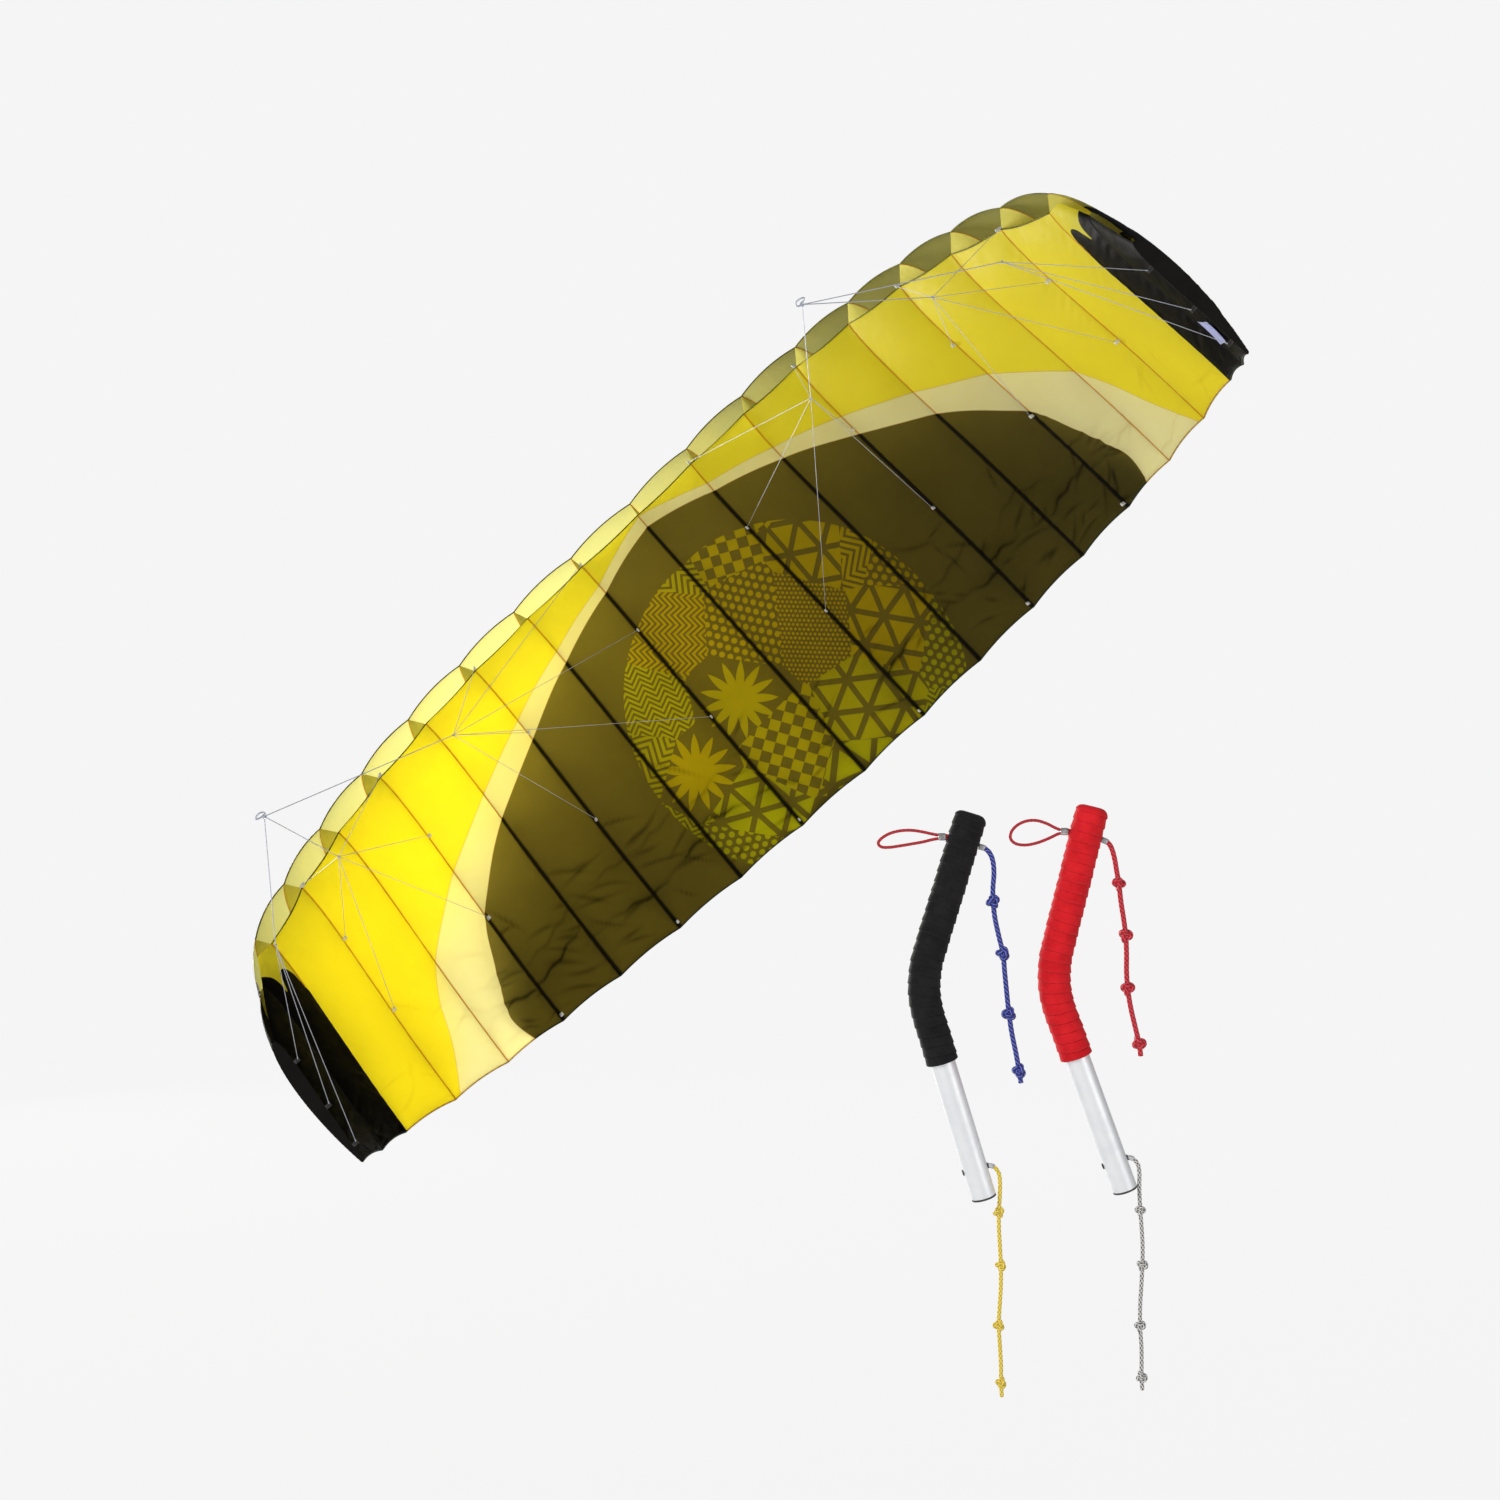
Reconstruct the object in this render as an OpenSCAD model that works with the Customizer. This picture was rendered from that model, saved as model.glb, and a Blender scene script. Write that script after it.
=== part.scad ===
// Ram-air foil power kite in flight, with its bridle and two control handles.
// The origin is midway between the two tow points, +Z is up and -Y faces the pilot.
// The wing is drawn in its own axes first: X along the span, +Z to the leading edge,
// -Y to the pilot. It is then turned to its flying attitude.

/* [Wing] */
// Number of cells in each half of the wing
half_cells = 10; // [10:1:10]
// Width of one cell along the curve of the wing
cell_w = 252; // [200:1:300]
// Width of each of the closed cells at the tip
tip_cell_w = 144; // [100:1:252]
// Chord of the centre rib
root_chord = 1160; // [1000:10:1300]
// Chord lost at the tip by the square term
chord_taper = 890; // [700:10:950]
// Chord gained back at the tip by the fourth power term
chord_return = 80; // [0:10:200]
// Sweep of the tip by the square term
sweep = 1170; // [600:10:1300]
// Sweep taken back at the tip by the fourth power term
sweep_return = 180; // [0:10:300]
// Angle that the wing turns from its centre to its tip
tip_angle = 97; // [70:1:100]
// How fast that angle grows along the span
arc_power = 0.8; // [0.7:0.05:1.2]
// Thickness of the section as a share of its chord
section_t = 0.17; // [0.12:0.01:0.2]
// Camber of the section as a share of its chord
camber = 0.045; // [0.02:0.005:0.07]
// Rear edge of the air intakes as a share of the chord
intake = 0.065; // [0.04:0.005:0.1]
// Height that the air pressure lifts the cloth between two ribs
billow = 13; // [5:1:25]
// Distance that the nose bulges forward between two ribs
nose_billow = 12; // [5:1:40]
// Thickness of the cloth solids
cloth_t = 1.2; // [0.8:0.1:2]

/* [Brake panels] */
// Place of the brake panels' hinge line as a share of the chord
hinge_at = 0.72; // [0.65:0.01:0.8]
// Gap along the chord in front of a brake panel
hinge_gap = 18; // [16:1:25]
// Gap beside a brake panel at its hinge line
side_gap_front = 8; // [6:1:12]
// Gap beside a brake panel at its trailing edge
side_gap_rear = 40; // [36:1:50]

/* [Attitude] */
// Turn about X of the flying wing
pitch = -7; // [-20:1:20]
// Turn about Y of the flying wing
bank = -42.2; // [-60:0.1:60]
// Turn about Z of the flying wing
yaw = -9; // [-20:1:20]

/* [Bridle] */
// Distance of a tow point from the centre of the span
tow_x = 650; // [500:10:900]
// Distance of the tow points below the centre rib
tow_y = 2600; // [2000:10:3000]
// Distance of the tow points behind the centre rib's nose
tow_z = 960; // [300:10:1100]
// Diameter of the main bridle lines
main_d = 1.8; // [1.5:0.1:3]
// Diameter of the upper bridle lines
fan_d = 1.4; // [1:0.1:3]

/* [Handles] */
// Diameter of the handle tube
tube_d = 25; // [20:1:30]
// Wall of the handle tube
tube_wall = 1.5; // [1:0.1:2.5]
// Diameter of the foam grip
grip_d = 33; // [30:1:38]
// Length from the bend to the top of the grip
upper_arm = 180; // [150:5:220]
// Length from the bend to the lower end of the tube
lower_arm = 220; // [180:5:260]
// Length of lower arm that the grip covers
grip_lower = 80; // [50:5:120]
// Angle of each arm to the handle's own axis
arm_angle = 17; // [10:1:25]
// Radius of the tube's bend
bend_r = 110; // [90:5:160]
// Diameter of the power leaders
power_cord_d = 5; // [4:0.5:5]
// Diameter of the brake leaders
brake_cord_d = 4; // [3:0.5:5]
// Size of a knot, in diameters of its cord
knot_ratio = 3.2; // [2.6:0.1:3.4]
// Diameter of the straps and tow loops
strap_d = 3; // [2.5:0.5:3]

/* [Hidden] */
$fn = 48;
TOW_MID = [0, -tow_y, -tow_z];
LEFT_HANDLE = [560, -1360, -555];
RIGHT_HANDLE = [690, -1360, -551];
LEFT_LEAN = 0;
RIGHT_LEAN = -3;

// Ribs that carry brake tabs and bridle tabs, counted from the centre rib
BRAKE_RIBS = [1, 3, 5];
INNER_CELLS = 6;
INTAKE_CELLS = 8;

// Chord stations of the cloth grids, as shares of the chord
NOSE = 0.003;
UPPER_FRONT = [NOSE, 0.03, 0.09, 0.2, 0.36, 0.54, hinge_at];
LOWER_FRONT = [0, 0.18, 0.36, 0.54, hinge_at];
REAR = [0.86, 1];
SPAN_STEP = 0.5;
TRAILING_HALF_T = 2.2;
TIP_THINNING = 0.45;

// Ribs
RIB_T = 1;
RIB_INSET = 0.4;
PORTS = [[0.2, 0.34], [0.36, 0.34], [0.52, 0.32]];

// Bridle: rows of tabs, then the junctions as x, y, z in the wing's axes
TAB_ROWS = [0.06, 0.31, 0.62];
TIP_ROWS = [0.2, 0.57, 0.88];
INNER_JOIN = [600, -1320, -640];
OUTER_JOIN = [940, -1560, -750];
TIP_JOIN = [1040, -1940, -930];
JOIN_D = 6;
TAB_L = 16;
TAB_W = 9;
TAB_T = 1.6;
TAB_HOLE_R = 2.5;
TOW_LOOP_R = 14;

// Handle details
STRAP_DOWN = 30;
PIN_UP = 28;
HOLE_R = 3;
GRIP_CAP = 4;
GRIP_ROUND = 7;
CRIMP_L = 7;
CRIMP_H = 7.4;
CRIMP_W = 4.4;
STRAP_GAP = 2;

// Routes of the leaders, from the handle's surface, as x, y, z
BLUE_ROUTE = [[0, 0, 0], [6, 0, -2], [11, 0, -7], [14, 0, -15], [15, 0, -27], [14, 0, -41], [14, -1, -55],
    [16, -1, -72], [20, 0, -90], [24, 0, -107], [26, 1, -127], [28, 1, -147], [30, 0, -167],
    [33, 0, -187], [37, -1, -207], [40, -1, -224], [42, 0, -236]];
BLUE_KNOTS = [6, 9, 12, 15];
RED_ROUTE = [[0, 0, 0], [6, 0, -3], [10, 0, -9], [13, 0, -20], [15, 0, -32], [17, -1, -44],
    [19, -1, -62], [22, 0, -80], [24, 0, -96], [25, 1, -114], [25, 1, -132], [26, 0, -149],
    [29, 0, -168], [33, -1, -186], [37, -1, -203], [39, 0, -216]];
RED_KNOTS = [5, 8, 11, 14];
YELLOW_ROUTE = [[0, 0, 0], [5, 0, -1], [10, 0, -6], [12, 0, -14], [12, 0, -30], [11, 0, -47],
    [11, -1, -64], [12, -1, -82], [13, 0, -100], [13, 0, -120], [12, 1, -140], [11, 1, -160],
    [12, 0, -180], [13, -1, -200], [13, -1, -217], [14, 0, -231]];
YELLOW_KNOTS = [5, 8, 11, 14];
GREY_ROUTE = [[0, 0, 0], [5, 0, -1], [10, 0, -6], [12, 0, -15], [12, 0, -33], [13, 0, -53],
    [14, -1, -70], [15, -1, -88], [15, 0, -108], [14, 0, -128], [13, 1, -149], [13, 1, -169],
    [14, 0, -188], [14, -1, -204], [14, -1, -219], [15, 0, -232]];
GREY_KNOTS = [5, 8, 11, 14];

// Straps, from the crimp's outer end and back to it, as x, y, z
LEFT_STRAP = [[0, 0, 1.8], [-7, 0, 3], [-16, 0, 5], [-27, 0, 6.5], [-38, 0, 6], [-48, 0, 3.5], [-56, 0, -1],
    [-60, 0, -6], [-57, 0, -10], [-49, 0, -10.5], [-38, 0, -9], [-26, 0, -7], [-15, 0, -5],
    [-7, 0, -3], [0, 0, -1.8]];
RIGHT_STRAP = [[0, 0, 1.8], [-6, 0, 4], [-14, 0, 8], [-24, 0, 11], [-34, 0, 10.5], [-43, 0, 6.5], [-49, 0, 0],
    [-50, 0, -7], [-45, 0, -12], [-36, 0, -13.5], [-26, 0, -12], [-17, 0, -9], [-9, 0, -5.5],
    [-4, 0, -3], [0, 0, -1.8]];

// ---- shape of the wing -------------------------------------------------------

function mix(a, b, f) = a + (b - a) * f;
function turned(v, a) = [v[0] * cos(a) + v[2] * sin(a), v[1], v[2] * cos(a) - v[0] * sin(a)];
function share(u) = u / half_cells;
function arc_angle(u) = tip_angle * pow(share(u), arc_power);
function width(k) = k < INTAKE_CELLS ? cell_w : tip_cell_w;
function rib_x(k) = k <= 0 ? 0 : rib_x(k - 1) + width(k - 1) * cos(arc_angle(k - 0.5));
function rib_y(k) = k <= 0 ? 0 : rib_y(k - 1) - width(k - 1) * sin(arc_angle(k - 0.5));
function chord(u) = root_chord - chord_taper * pow(share(u), 2) + chord_return * pow(share(u), 4);
function nose_z(u) = sweep_return * pow(share(u), 4) - sweep * pow(share(u), 2);
function thinning(u) = 1 - TIP_THINNING * pow(share(u), 3);
function intake_edge(u) = max(NOSE, intake * min(1, (INTAKE_CELLS + 0.5 - u) / 0.5));

function half_thickness(c) = 5 * section_t * (0.2969 * sqrt(c) - 0.126 * c - 0.3516 * c * c
    + 0.2843 * pow(c, 3) - 0.1036 * pow(c, 4));
function camber_line(c) = 4 * camber * c * (1 - c);
// Height of the cloth above the chord line at a rib; side is 1 above and -1 below
function section_y(u, c, side) = chord(u) * thinning(u) * (camber_line(c) + side * half_thickness(c))
    + side * TRAILING_HALF_T * c;
function puff(u) = 4 * (u - floor(u)) * (1 - u + floor(u));
function swell(u, c) = billow * puff(u) * width(floor(u)) / cell_w * (1 - c * c) * min(1, 0.4 + 4 * c);

// A point of the cloth at span position u, chord share c, set in from the surface
function cloth_point(u, c, side, inset) =
    let (k = min(floor(u), half_cells - 1), f = u - k, a = arc_angle(u),
        h = section_y(u, c, side) + side * (swell(u, c) - inset),
        forward = nose_billow * puff(u) * max(0, 1 - c / 0.1))
    [mix(rib_x(k), rib_x(k + 1), f) + sin(a) * h,
     mix(rib_y(k), rib_y(k + 1), f) + cos(a) * h,
     nose_z(u) - c * chord(u) + forward];

// Closed solid between two grids of points with the same number of rows and columns
module between(top, bottom) {
    rows = len(top);
    cols = len(top[0]);
    count = rows * cols;
    points = concat([for (r = top) each r], [for (r = bottom) each r]);
    function at(r, c) = r * cols + c;
    edge = concat([for (c = [0:cols - 2]) at(0, c)], [for (r = [0:rows - 2]) at(r, cols - 1)],
        [for (c = [cols - 1:-1:1]) at(rows - 1, c)], [for (r = [rows - 1:-1:1]) at(r, 0)]);
    n = len(edge);
    faces = concat(
        [for (r = [0:rows - 2], c = [0:cols - 2]) each
            [[at(r, c), at(r + 1, c), at(r + 1, c + 1)], [at(r, c), at(r + 1, c + 1), at(r, c + 1)]]],
        [for (r = [0:rows - 2], c = [0:cols - 2]) each
            [[count + at(r, c), count + at(r + 1, c + 1), count + at(r + 1, c)],
             [count + at(r, c), count + at(r, c + 1), count + at(r + 1, c + 1)]]],
        [for (i = [0:n - 1]) let (p = edge[i], q = edge[(i + 1) % n]) each
            [[p, q, count + q], [p, count + q, count + p]]]);
    polyhedron(points, faces);
}

// Cloth of one half from span position u0 to u1 at the given chord stations
module cloth(u0, u1, stations, side) {
    spans = [u0:SPAN_STEP:u1];
    function at_station(u, c) = side < 0 && c == stations[0] ? intake_edge(u) : c;
    outer = [for (u = spans) [for (c = stations) cloth_point(u, at_station(u, c), side, 0)]];
    inner = [for (u = spans) [for (c = stations) cloth_point(u, at_station(u, c), side, cloth_t)]];
    if (side > 0)
        between(outer, inner);
    else
        between(inner, outer);
}

// Turns the wing's axes to its flying attitude, with the tow points at the origin
module flying() {
    rotate([pitch, bank, yaw]) translate(-TOW_MID) children();
}

module half(right) {
    flying() mirror([right ? 0 : 1, 0, 0]) children();
}

// ---- cloth -------------------------------------------------------------------

module upper_skin(right) {
    color("gold") half(right) cloth(0, INNER_CELLS, UPPER_FRONT, 1);
}

module lower_skin(right) {
    color("darkolivegreen") half(right) cloth(0, INNER_CELLS, LOWER_FRONT, -1);
}

module upper_tip(right) {
    color("gold") half(right) cloth(INNER_CELLS, half_cells, concat(UPPER_FRONT, REAR), 1);
}

module lower_tip(right) {
    color("yellow") half(right) cloth(INNER_CELLS, half_cells, concat(LOWER_FRONT, REAR), -1);
}

// Outline of a rib from its nose to chord share last; x is its height, y runs to the rear
module rib_outline(u, last) {
    stations = [for (c = concat(UPPER_FRONT, REAR)) if (c <= last && c > NOSE) c];
    lower = [for (c = concat([intake_edge(u)], LOWER_FRONT, REAR)) if (c <= last && c > 0) c];
    gap = cloth_t + RIB_INSET;
    polygon(concat([for (c = stations) [section_y(u, c, 1) - gap, c * chord(u)]],
        [for (i = [len(lower) - 1:-1:0]) [section_y(u, lower[i], -1) + gap, lower[i] * chord(u)]]));
}

// The air passes from cell to cell through these
module ports(u) {
    for (p = PORTS)
        translate([section_y(u, p[0], 0), p[0] * chord(u)])
            circle(r = p[1] * chord(u) * thinning(u) * 2 * half_thickness(p[0]));
}

// Children are drawn flat, then stood across the span at rib k
module at_rib(k) {
    translate([rib_x(k), rib_y(k), nose_z(k)]) rotate([-90, 0, 90 - arc_angle(k)]) children();
}

module rib(k, last) {
    at_rib(k) linear_extrude(RIB_T, center = true) difference() {
        rib_outline(k, last);
        ports(k);
    }
}

function is_brake_rib(k) = len(search(k, BRAKE_RIBS)) > 0;

module centre_rib() {
    color("dimgray") flying() rib(0, 1);
}

module ribs(right) {
    color("dimgray") half(right)
        for (k = [1:half_cells - 1])
            rib(k, is_brake_rib(k) ? hinge_at : 1);
}

// Plain wall that closes the outer cell
module tip_panel(right) {
    color("black") half(right) at_rib(half_cells)
        translate([0, 0, RIB_T]) linear_extrude(RIB_T, center = true) rib_outline(half_cells, 1);
}

// Trailing part of the two cells beside a brake rib, which the brake line pulls down:
// one sheet folded at the trailing edge and open in front
module brake_panel(right, k) {
    front = hinge_at + hinge_gap / chord(k);
    fold = [[front, 1], [REAR[0], 1], [1, 1], [1, -1], [REAR[0], -1], [front, -1]];
    function side_gap(c) = mix(side_gap_front, side_gap_rear, (c - front) / (1 - front)) / cell_w;
    function span(i, c) = [k - 1 + side_gap(c), k - 0.5, k, k + 0.5, k + 1 - side_gap(c)][i];
    function sheet(inset) = [for (i = [0:4])
        [for (e = fold) cloth_point(span(i, e[0]), min(e[0], 1 - inset / chord(k)), e[1], inset)]];
    color("olive") half(right) between(sheet(0), sheet(cloth_t));
}

// ---- tabs and lines ----------------------------------------------------------

function tab_root(k, c) = cloth_point(k, c, -1, 1);
function tab_eye(k, c) =
    let (a = arc_angle(k), p = tab_root(k, c), d = TAB_L - TAB_W / 2)
    [p[0] - sin(a) * d, p[1] - cos(a) * d, p[2]];

// Flat webbing tab with its eye, sewn under rib k at chord share c
module tab_at(k, c) {
    translate(tab_root(k, c)) rotate([0, 0, -arc_angle(k)]) rotate([90, 0, 0]) rotate([0, 90, 0])
        linear_extrude(TAB_T, center = true) difference() {
            translate([-TAB_W / 2, 0]) square([TAB_W, TAB_L]);
            translate([0, TAB_L - TAB_W / 2]) circle(r = TAB_HOLE_R);
        }
}

module brake_tab(right, k) {
    color("white") half(right) tab_at(k, 0.985);
}

function fan_ends(ribs, rows) = [for (k = ribs, c = rows) [k, c]];
INNER_FAN = fan_ends([1, 3], TAB_ROWS);
OUTER_FAN = fan_ends([5, 7], TAB_ROWS);
TIP_FAN = fan_ends([half_cells], TIP_ROWS);

module bridle_tabs(right) {
    color("white") half(right)
        for (e = concat(INNER_FAN, OUTER_FAN, TIP_FAN))
            tab_at(e[0], e[1]);
}

module line(a, b, d) {
    v = b - a;
    translate(a) rotate([0, acos(v[2] / norm(v)), atan2(v[1], v[0])]) cylinder(d = d, h = norm(v), $fn = 16);
}

module fan(join, ends) {
    for (e = ends)
        line(join, tab_eye(e[0], e[1]), fan_d);
    translate(join) sphere(d = JOIN_D, $fn = 24);
}

module bridle_fans(right) {
    color("lightsteelblue") half(right) {
        fan(INNER_JOIN, INNER_FAN);
        fan(OUTER_JOIN, OUTER_FAN);
        fan(TIP_JOIN, TIP_FAN);
    }
}

function tow_point() = [tow_x, -tow_y, -tow_z];

// Main lines run from the knot above the tow loop to just inside the fans' knots
module bridle_mains(right) {
    top = tow_point() + [0, TOW_LOOP_R + 1, 0];
    color("lightsteelblue") half(right) {
        for (join = [INNER_JOIN, OUTER_JOIN, TIP_JOIN]) {
            v = join - top;
            line(top, join - v / norm(v) * (JOIN_D / 2 - 0.3), main_d);
        }
        translate(top) sphere(d = JOIN_D + 2, $fn = 24);
    }
}

// Loop of cord that a flying line is looped on to
module tow_loop(right) {
    color("white") half(right) translate(tow_point())
        rotate_extrude() translate([TOW_LOOP_R - strap_d, 0]) circle(d = strap_d, $fn = 16);
}

// Blank sewn label on the right tip
module care_label() {
    across = [9.3, 9.5, 9.8];
    along = [0.7, 0.78, 0.86];
    function face(out) = [for (u = across) [for (c = along) cloth_point(u, c, -1, -out)]];
    color("slateblue") half(true) between(face(0.6), face(1.6));
}

// ---- handles -----------------------------------------------------------------

// Children are drawn along +Z from the bend, on the upper or the lower arm
module on_upper() {
    rotate([0, arm_angle, 0]) children();
}

module on_lower() {
    rotate([0, 180 - arm_angle, 0]) children();
}

// Bend of the handle swept with its children as the section
module bend() {
    translate([bend_r / cos(arm_angle), 0, 0]) rotate([90, 0, 0]) rotate([0, 0, 180 - arm_angle])
        rotate_extrude(angle = 2 * arm_angle) translate([bend_r, 0]) children();
}

STRAIGHT_FROM = bend_r * tan(arm_angle);

module ring(outer, inner) {
    difference() {
        circle(d = outer);
        circle(d = inner);
    }
}

module sleeve(outer, inner, from, to) {
    translate([0, 0, from]) linear_extrude(to - from) ring(outer, inner);
}

module cross_hole(z, r) {
    translate([0, 0, z]) rotate([0, 90, 0]) cylinder(r = r, h = grip_d + 10, center = true, $fn = 24);
}

module place(right) {
    translate(right ? RIGHT_HANDLE : LEFT_HANDLE) rotate([0, right ? RIGHT_LEAN : LEFT_LEAN, 0]) children();
}

module tube(right) {
    inner = tube_d - 2 * tube_wall;
    color("silver") place(right) {
        on_upper() difference() {
            sleeve(tube_d, inner, STRAIGHT_FROM, upper_arm - GRIP_CAP);
            cross_hole(upper_arm - STRAP_DOWN, HOLE_R);
        }
        bend() ring(tube_d, inner);
        on_lower() difference() {
            sleeve(tube_d, inner, STRAIGHT_FROM, lower_arm);
            cross_hole(lower_arm - PIN_UP, HOLE_R);
        }
    }
}

module grip(right) {
    inner = tube_d + 0.2;
    color(right ? "crimson" : "black") place(right) {
        on_upper() difference() {
            union() {
                sleeve(grip_d, inner, STRAIGHT_FROM, upper_arm - GRIP_CAP - GRIP_ROUND);
                translate([0, 0, upper_arm - GRIP_CAP - GRIP_ROUND]) rotate_extrude() difference() {
                    union() {
                        square([grip_d / 2 - GRIP_ROUND, GRIP_CAP + GRIP_ROUND]);
                        square([grip_d / 2, GRIP_CAP]);
                        translate([grip_d / 2 - GRIP_ROUND, GRIP_CAP]) intersection() {
                            circle(r = GRIP_ROUND);
                            square(GRIP_ROUND);
                        }
                    }
                    square([inner / 2, GRIP_ROUND + 0.2]);
                }
            }
            cross_hole(upper_arm - STRAP_DOWN, HOLE_R + 1);
        }
        bend() ring(grip_d, inner);
        on_lower() sleeve(grip_d, inner, STRAIGHT_FROM, grip_lower);
    }
}

module end_plug(right) {
    inner = tube_d - 2 * tube_wall;
    color("dimgray") place(right) on_lower() {
        translate([0, 0, lower_arm]) cylinder(d = tube_d, h = 2);
        translate([0, 0, lower_arm - 12]) cylinder(d = inner - 0.1, h = 12);
    }
}

// Plastic sleeves that line the two lower holes
module bushes(right) {
    reach = tube_d / 2 - tube_wall - 1;
    color("black") place(right) on_lower() translate([0, 0, lower_arm - PIN_UP])
        for (turn = [90, -90])
            rotate([0, turn, 0]) translate([0, 0, reach]) sleeve(2 * HOLE_R - 0.1, 3.6, 0, tube_wall + 2);
}

// Where a strap or leader leaves a handle, in the row's axes; side is -1 left and 1 right
function handle_at(right) = right ? RIGHT_HANDLE : LEFT_HANDLE;
function lean(right) = right ? RIGHT_LEAN : LEFT_LEAN;
function upper_exit(right, side) =
    handle_at(right) + turned([side * grip_d / 2, 0, upper_arm - STRAP_DOWN], arm_angle + lean(right));
function lower_exit(right) =
    handle_at(right) + turned([-tube_d / 2 - 0.5, 0, lower_arm - PIN_UP], 180 - arm_angle + lean(right));

// Smooth curve through the points, with a number of steps between each two
function spline(p, steps) = concat([for (i = [0:len(p) - 2], s = [0:steps - 1])
    let (a = p[max(i - 1, 0)], b = p[i], c = p[i + 1], d = p[min(i + 2, len(p) - 1)], t = s / steps)
    0.5 * (2 * b + (c - a) * t + (2 * a - 5 * b + 4 * c - d) * t * t + (3 * b - a - 3 * c + d) * pow(t, 3))],
    [p[len(p) - 1]]);

// Tube of cord swept along points that lie near the XZ plane
module cord(points, d) {
    sides = 8;
    n = len(points);
    rings = [for (i = [0:n - 1])
        let (v = points[min(i + 1, n - 1)] - points[max(i - 1, 0)], t = v / norm(v),
            across = cross(t, [0, 1, 0]), b = across / norm(across))
        for (s = [0:sides - 1])
            points[i] + d / 2 * (cos(360 * s / sides) * cross(b, t) + sin(360 * s / sides) * b)];
    faces = concat([[for (s = [0:sides - 1]) s]],
        [for (i = [0:n - 2], s = [0:sides - 1]) let (q = (s + 1) % sides) each
            [[i * sides + s, (i + 1) * sides + s, (i + 1) * sides + q],
             [i * sides + s, (i + 1) * sides + q, i * sides + q]]],
        [[for (s = [sides - 1:-1:0]) (n - 1) * sides + s]]);
    polyhedron(rings, faces);
}

module knots(points, which, d) {
    for (i = which)
        translate(points[i]) sphere(d = knot_ratio * d, $fn = 24);
}

module strap(right) {
    start = upper_exit(right, -1) - [CRIMP_L + STRAP_GAP, 0, 0];
    color("firebrick") translate(start) cord(spline(right ? RIGHT_STRAP : LEFT_STRAP, 2), strap_d);
}

module strap_crimp(right) {
    color("silver") translate(upper_exit(right, -1) - [CRIMP_L + STRAP_GAP, 0, 0]) rotate([0, 90, 0])
        linear_extrude(CRIMP_L) {
            square([CRIMP_H - CRIMP_W, CRIMP_W], center = true);
            for (side = [-1, 1])
                translate([side * (CRIMP_H - CRIMP_W) / 2, 0]) circle(d = CRIMP_W);
        }
}

module power_leader(right) {
    color(right ? "indianred" : "royalblue") translate(upper_exit(right, 1))
        cord(spline(right ? RED_ROUTE : BLUE_ROUTE, 2), power_cord_d);
}

module power_knots(right) {
    color(right ? "indianred" : "royalblue") translate(upper_exit(right, 1))
        knots(right ? RED_ROUTE : BLUE_ROUTE, right ? RED_KNOTS : BLUE_KNOTS, power_cord_d);
}

module brake_leader(right) {
    color(right ? "darkgray" : "yellow") translate(lower_exit(right))
        cord(spline(right ? GREY_ROUTE : YELLOW_ROUTE, 2), brake_cord_d);
}

module brake_knots(right) {
    color(right ? "darkgray" : "yellow") translate(lower_exit(right))
        knots(right ? GREY_ROUTE : YELLOW_ROUTE, right ? GREY_KNOTS : YELLOW_KNOTS, brake_cord_d);
}

// ---- nodes -------------------------------------------------------------------

upper_skin(false);  // upper_skin_left
upper_skin(true);  // upper_skin_right
lower_skin(false);  // lower_skin_left
lower_skin(true);  // lower_skin_right
upper_tip(false);  // upper_tip_left
upper_tip(true);  // upper_tip_right
lower_tip(false);  // lower_tip_left
lower_tip(true);  // lower_tip_right
centre_rib();
ribs(false);  // ribs_left
ribs(true);  // ribs_right
tip_panel(false);  // tip_panel_left
tip_panel(true);  // tip_panel_right
brake_panel(false, BRAKE_RIBS[0]);  // brake_panel_left_inner
brake_panel(false, BRAKE_RIBS[1]);  // brake_panel_left_middle
brake_panel(false, BRAKE_RIBS[2]);  // brake_panel_left_outer
brake_panel(true, BRAKE_RIBS[0]);  // brake_panel_right_inner
brake_panel(true, BRAKE_RIBS[1]);  // brake_panel_right_middle
brake_panel(true, BRAKE_RIBS[2]);  // brake_panel_right_outer
brake_tab(false, BRAKE_RIBS[0]);  // brake_tab_left_inner
brake_tab(false, BRAKE_RIBS[1]);  // brake_tab_left_middle
brake_tab(false, BRAKE_RIBS[2]);  // brake_tab_left_outer
brake_tab(true, BRAKE_RIBS[0]);  // brake_tab_right_inner
brake_tab(true, BRAKE_RIBS[1]);  // brake_tab_right_middle
brake_tab(true, BRAKE_RIBS[2]);  // brake_tab_right_outer
bridle_tabs(false);  // bridle_tabs_left
bridle_tabs(true);  // bridle_tabs_right
bridle_fans(false);  // bridle_fans_left
bridle_fans(true);  // bridle_fans_right
bridle_mains(false);  // bridle_mains_left
bridle_mains(true);  // bridle_mains_right
tow_loop(false);  // tow_loop_left
tow_loop(true);  // tow_loop_right
care_label();
tube(false);  // left_tube
grip(false);  // left_grip
end_plug(false);  // left_end_plug
bushes(false);  // left_bushes
strap(false);  // left_strap
strap_crimp(false);  // left_strap_crimp
power_leader(false);  // left_power_leader
power_knots(false);  // left_power_knots
brake_leader(false);  // left_brake_leader
brake_knots(false);  // left_brake_knots
tube(true);  // right_tube
grip(true);  // right_grip
end_plug(true);  // right_end_plug
bushes(true);  // right_bushes
strap(true);  // right_strap
strap_crimp(true);  // right_strap_crimp
power_leader(true);  // right_power_leader
power_knots(true);  // right_power_knots
brake_leader(true);  // right_brake_leader
brake_knots(true);  // right_brake_knots
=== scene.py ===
"""Ram-air foil power kite in flight, with its bridle and two control handles.

Everything is in metres, in the CAD model's frame: the origin is midway between the two tow points,
+Z is up and -Y faces the pilot. The wing's formulas are those of part.scad; the wrinkles, the scallops
of the trailing edge and the bowed lower lip of the intakes are drawn here only.
"""

import math

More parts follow.
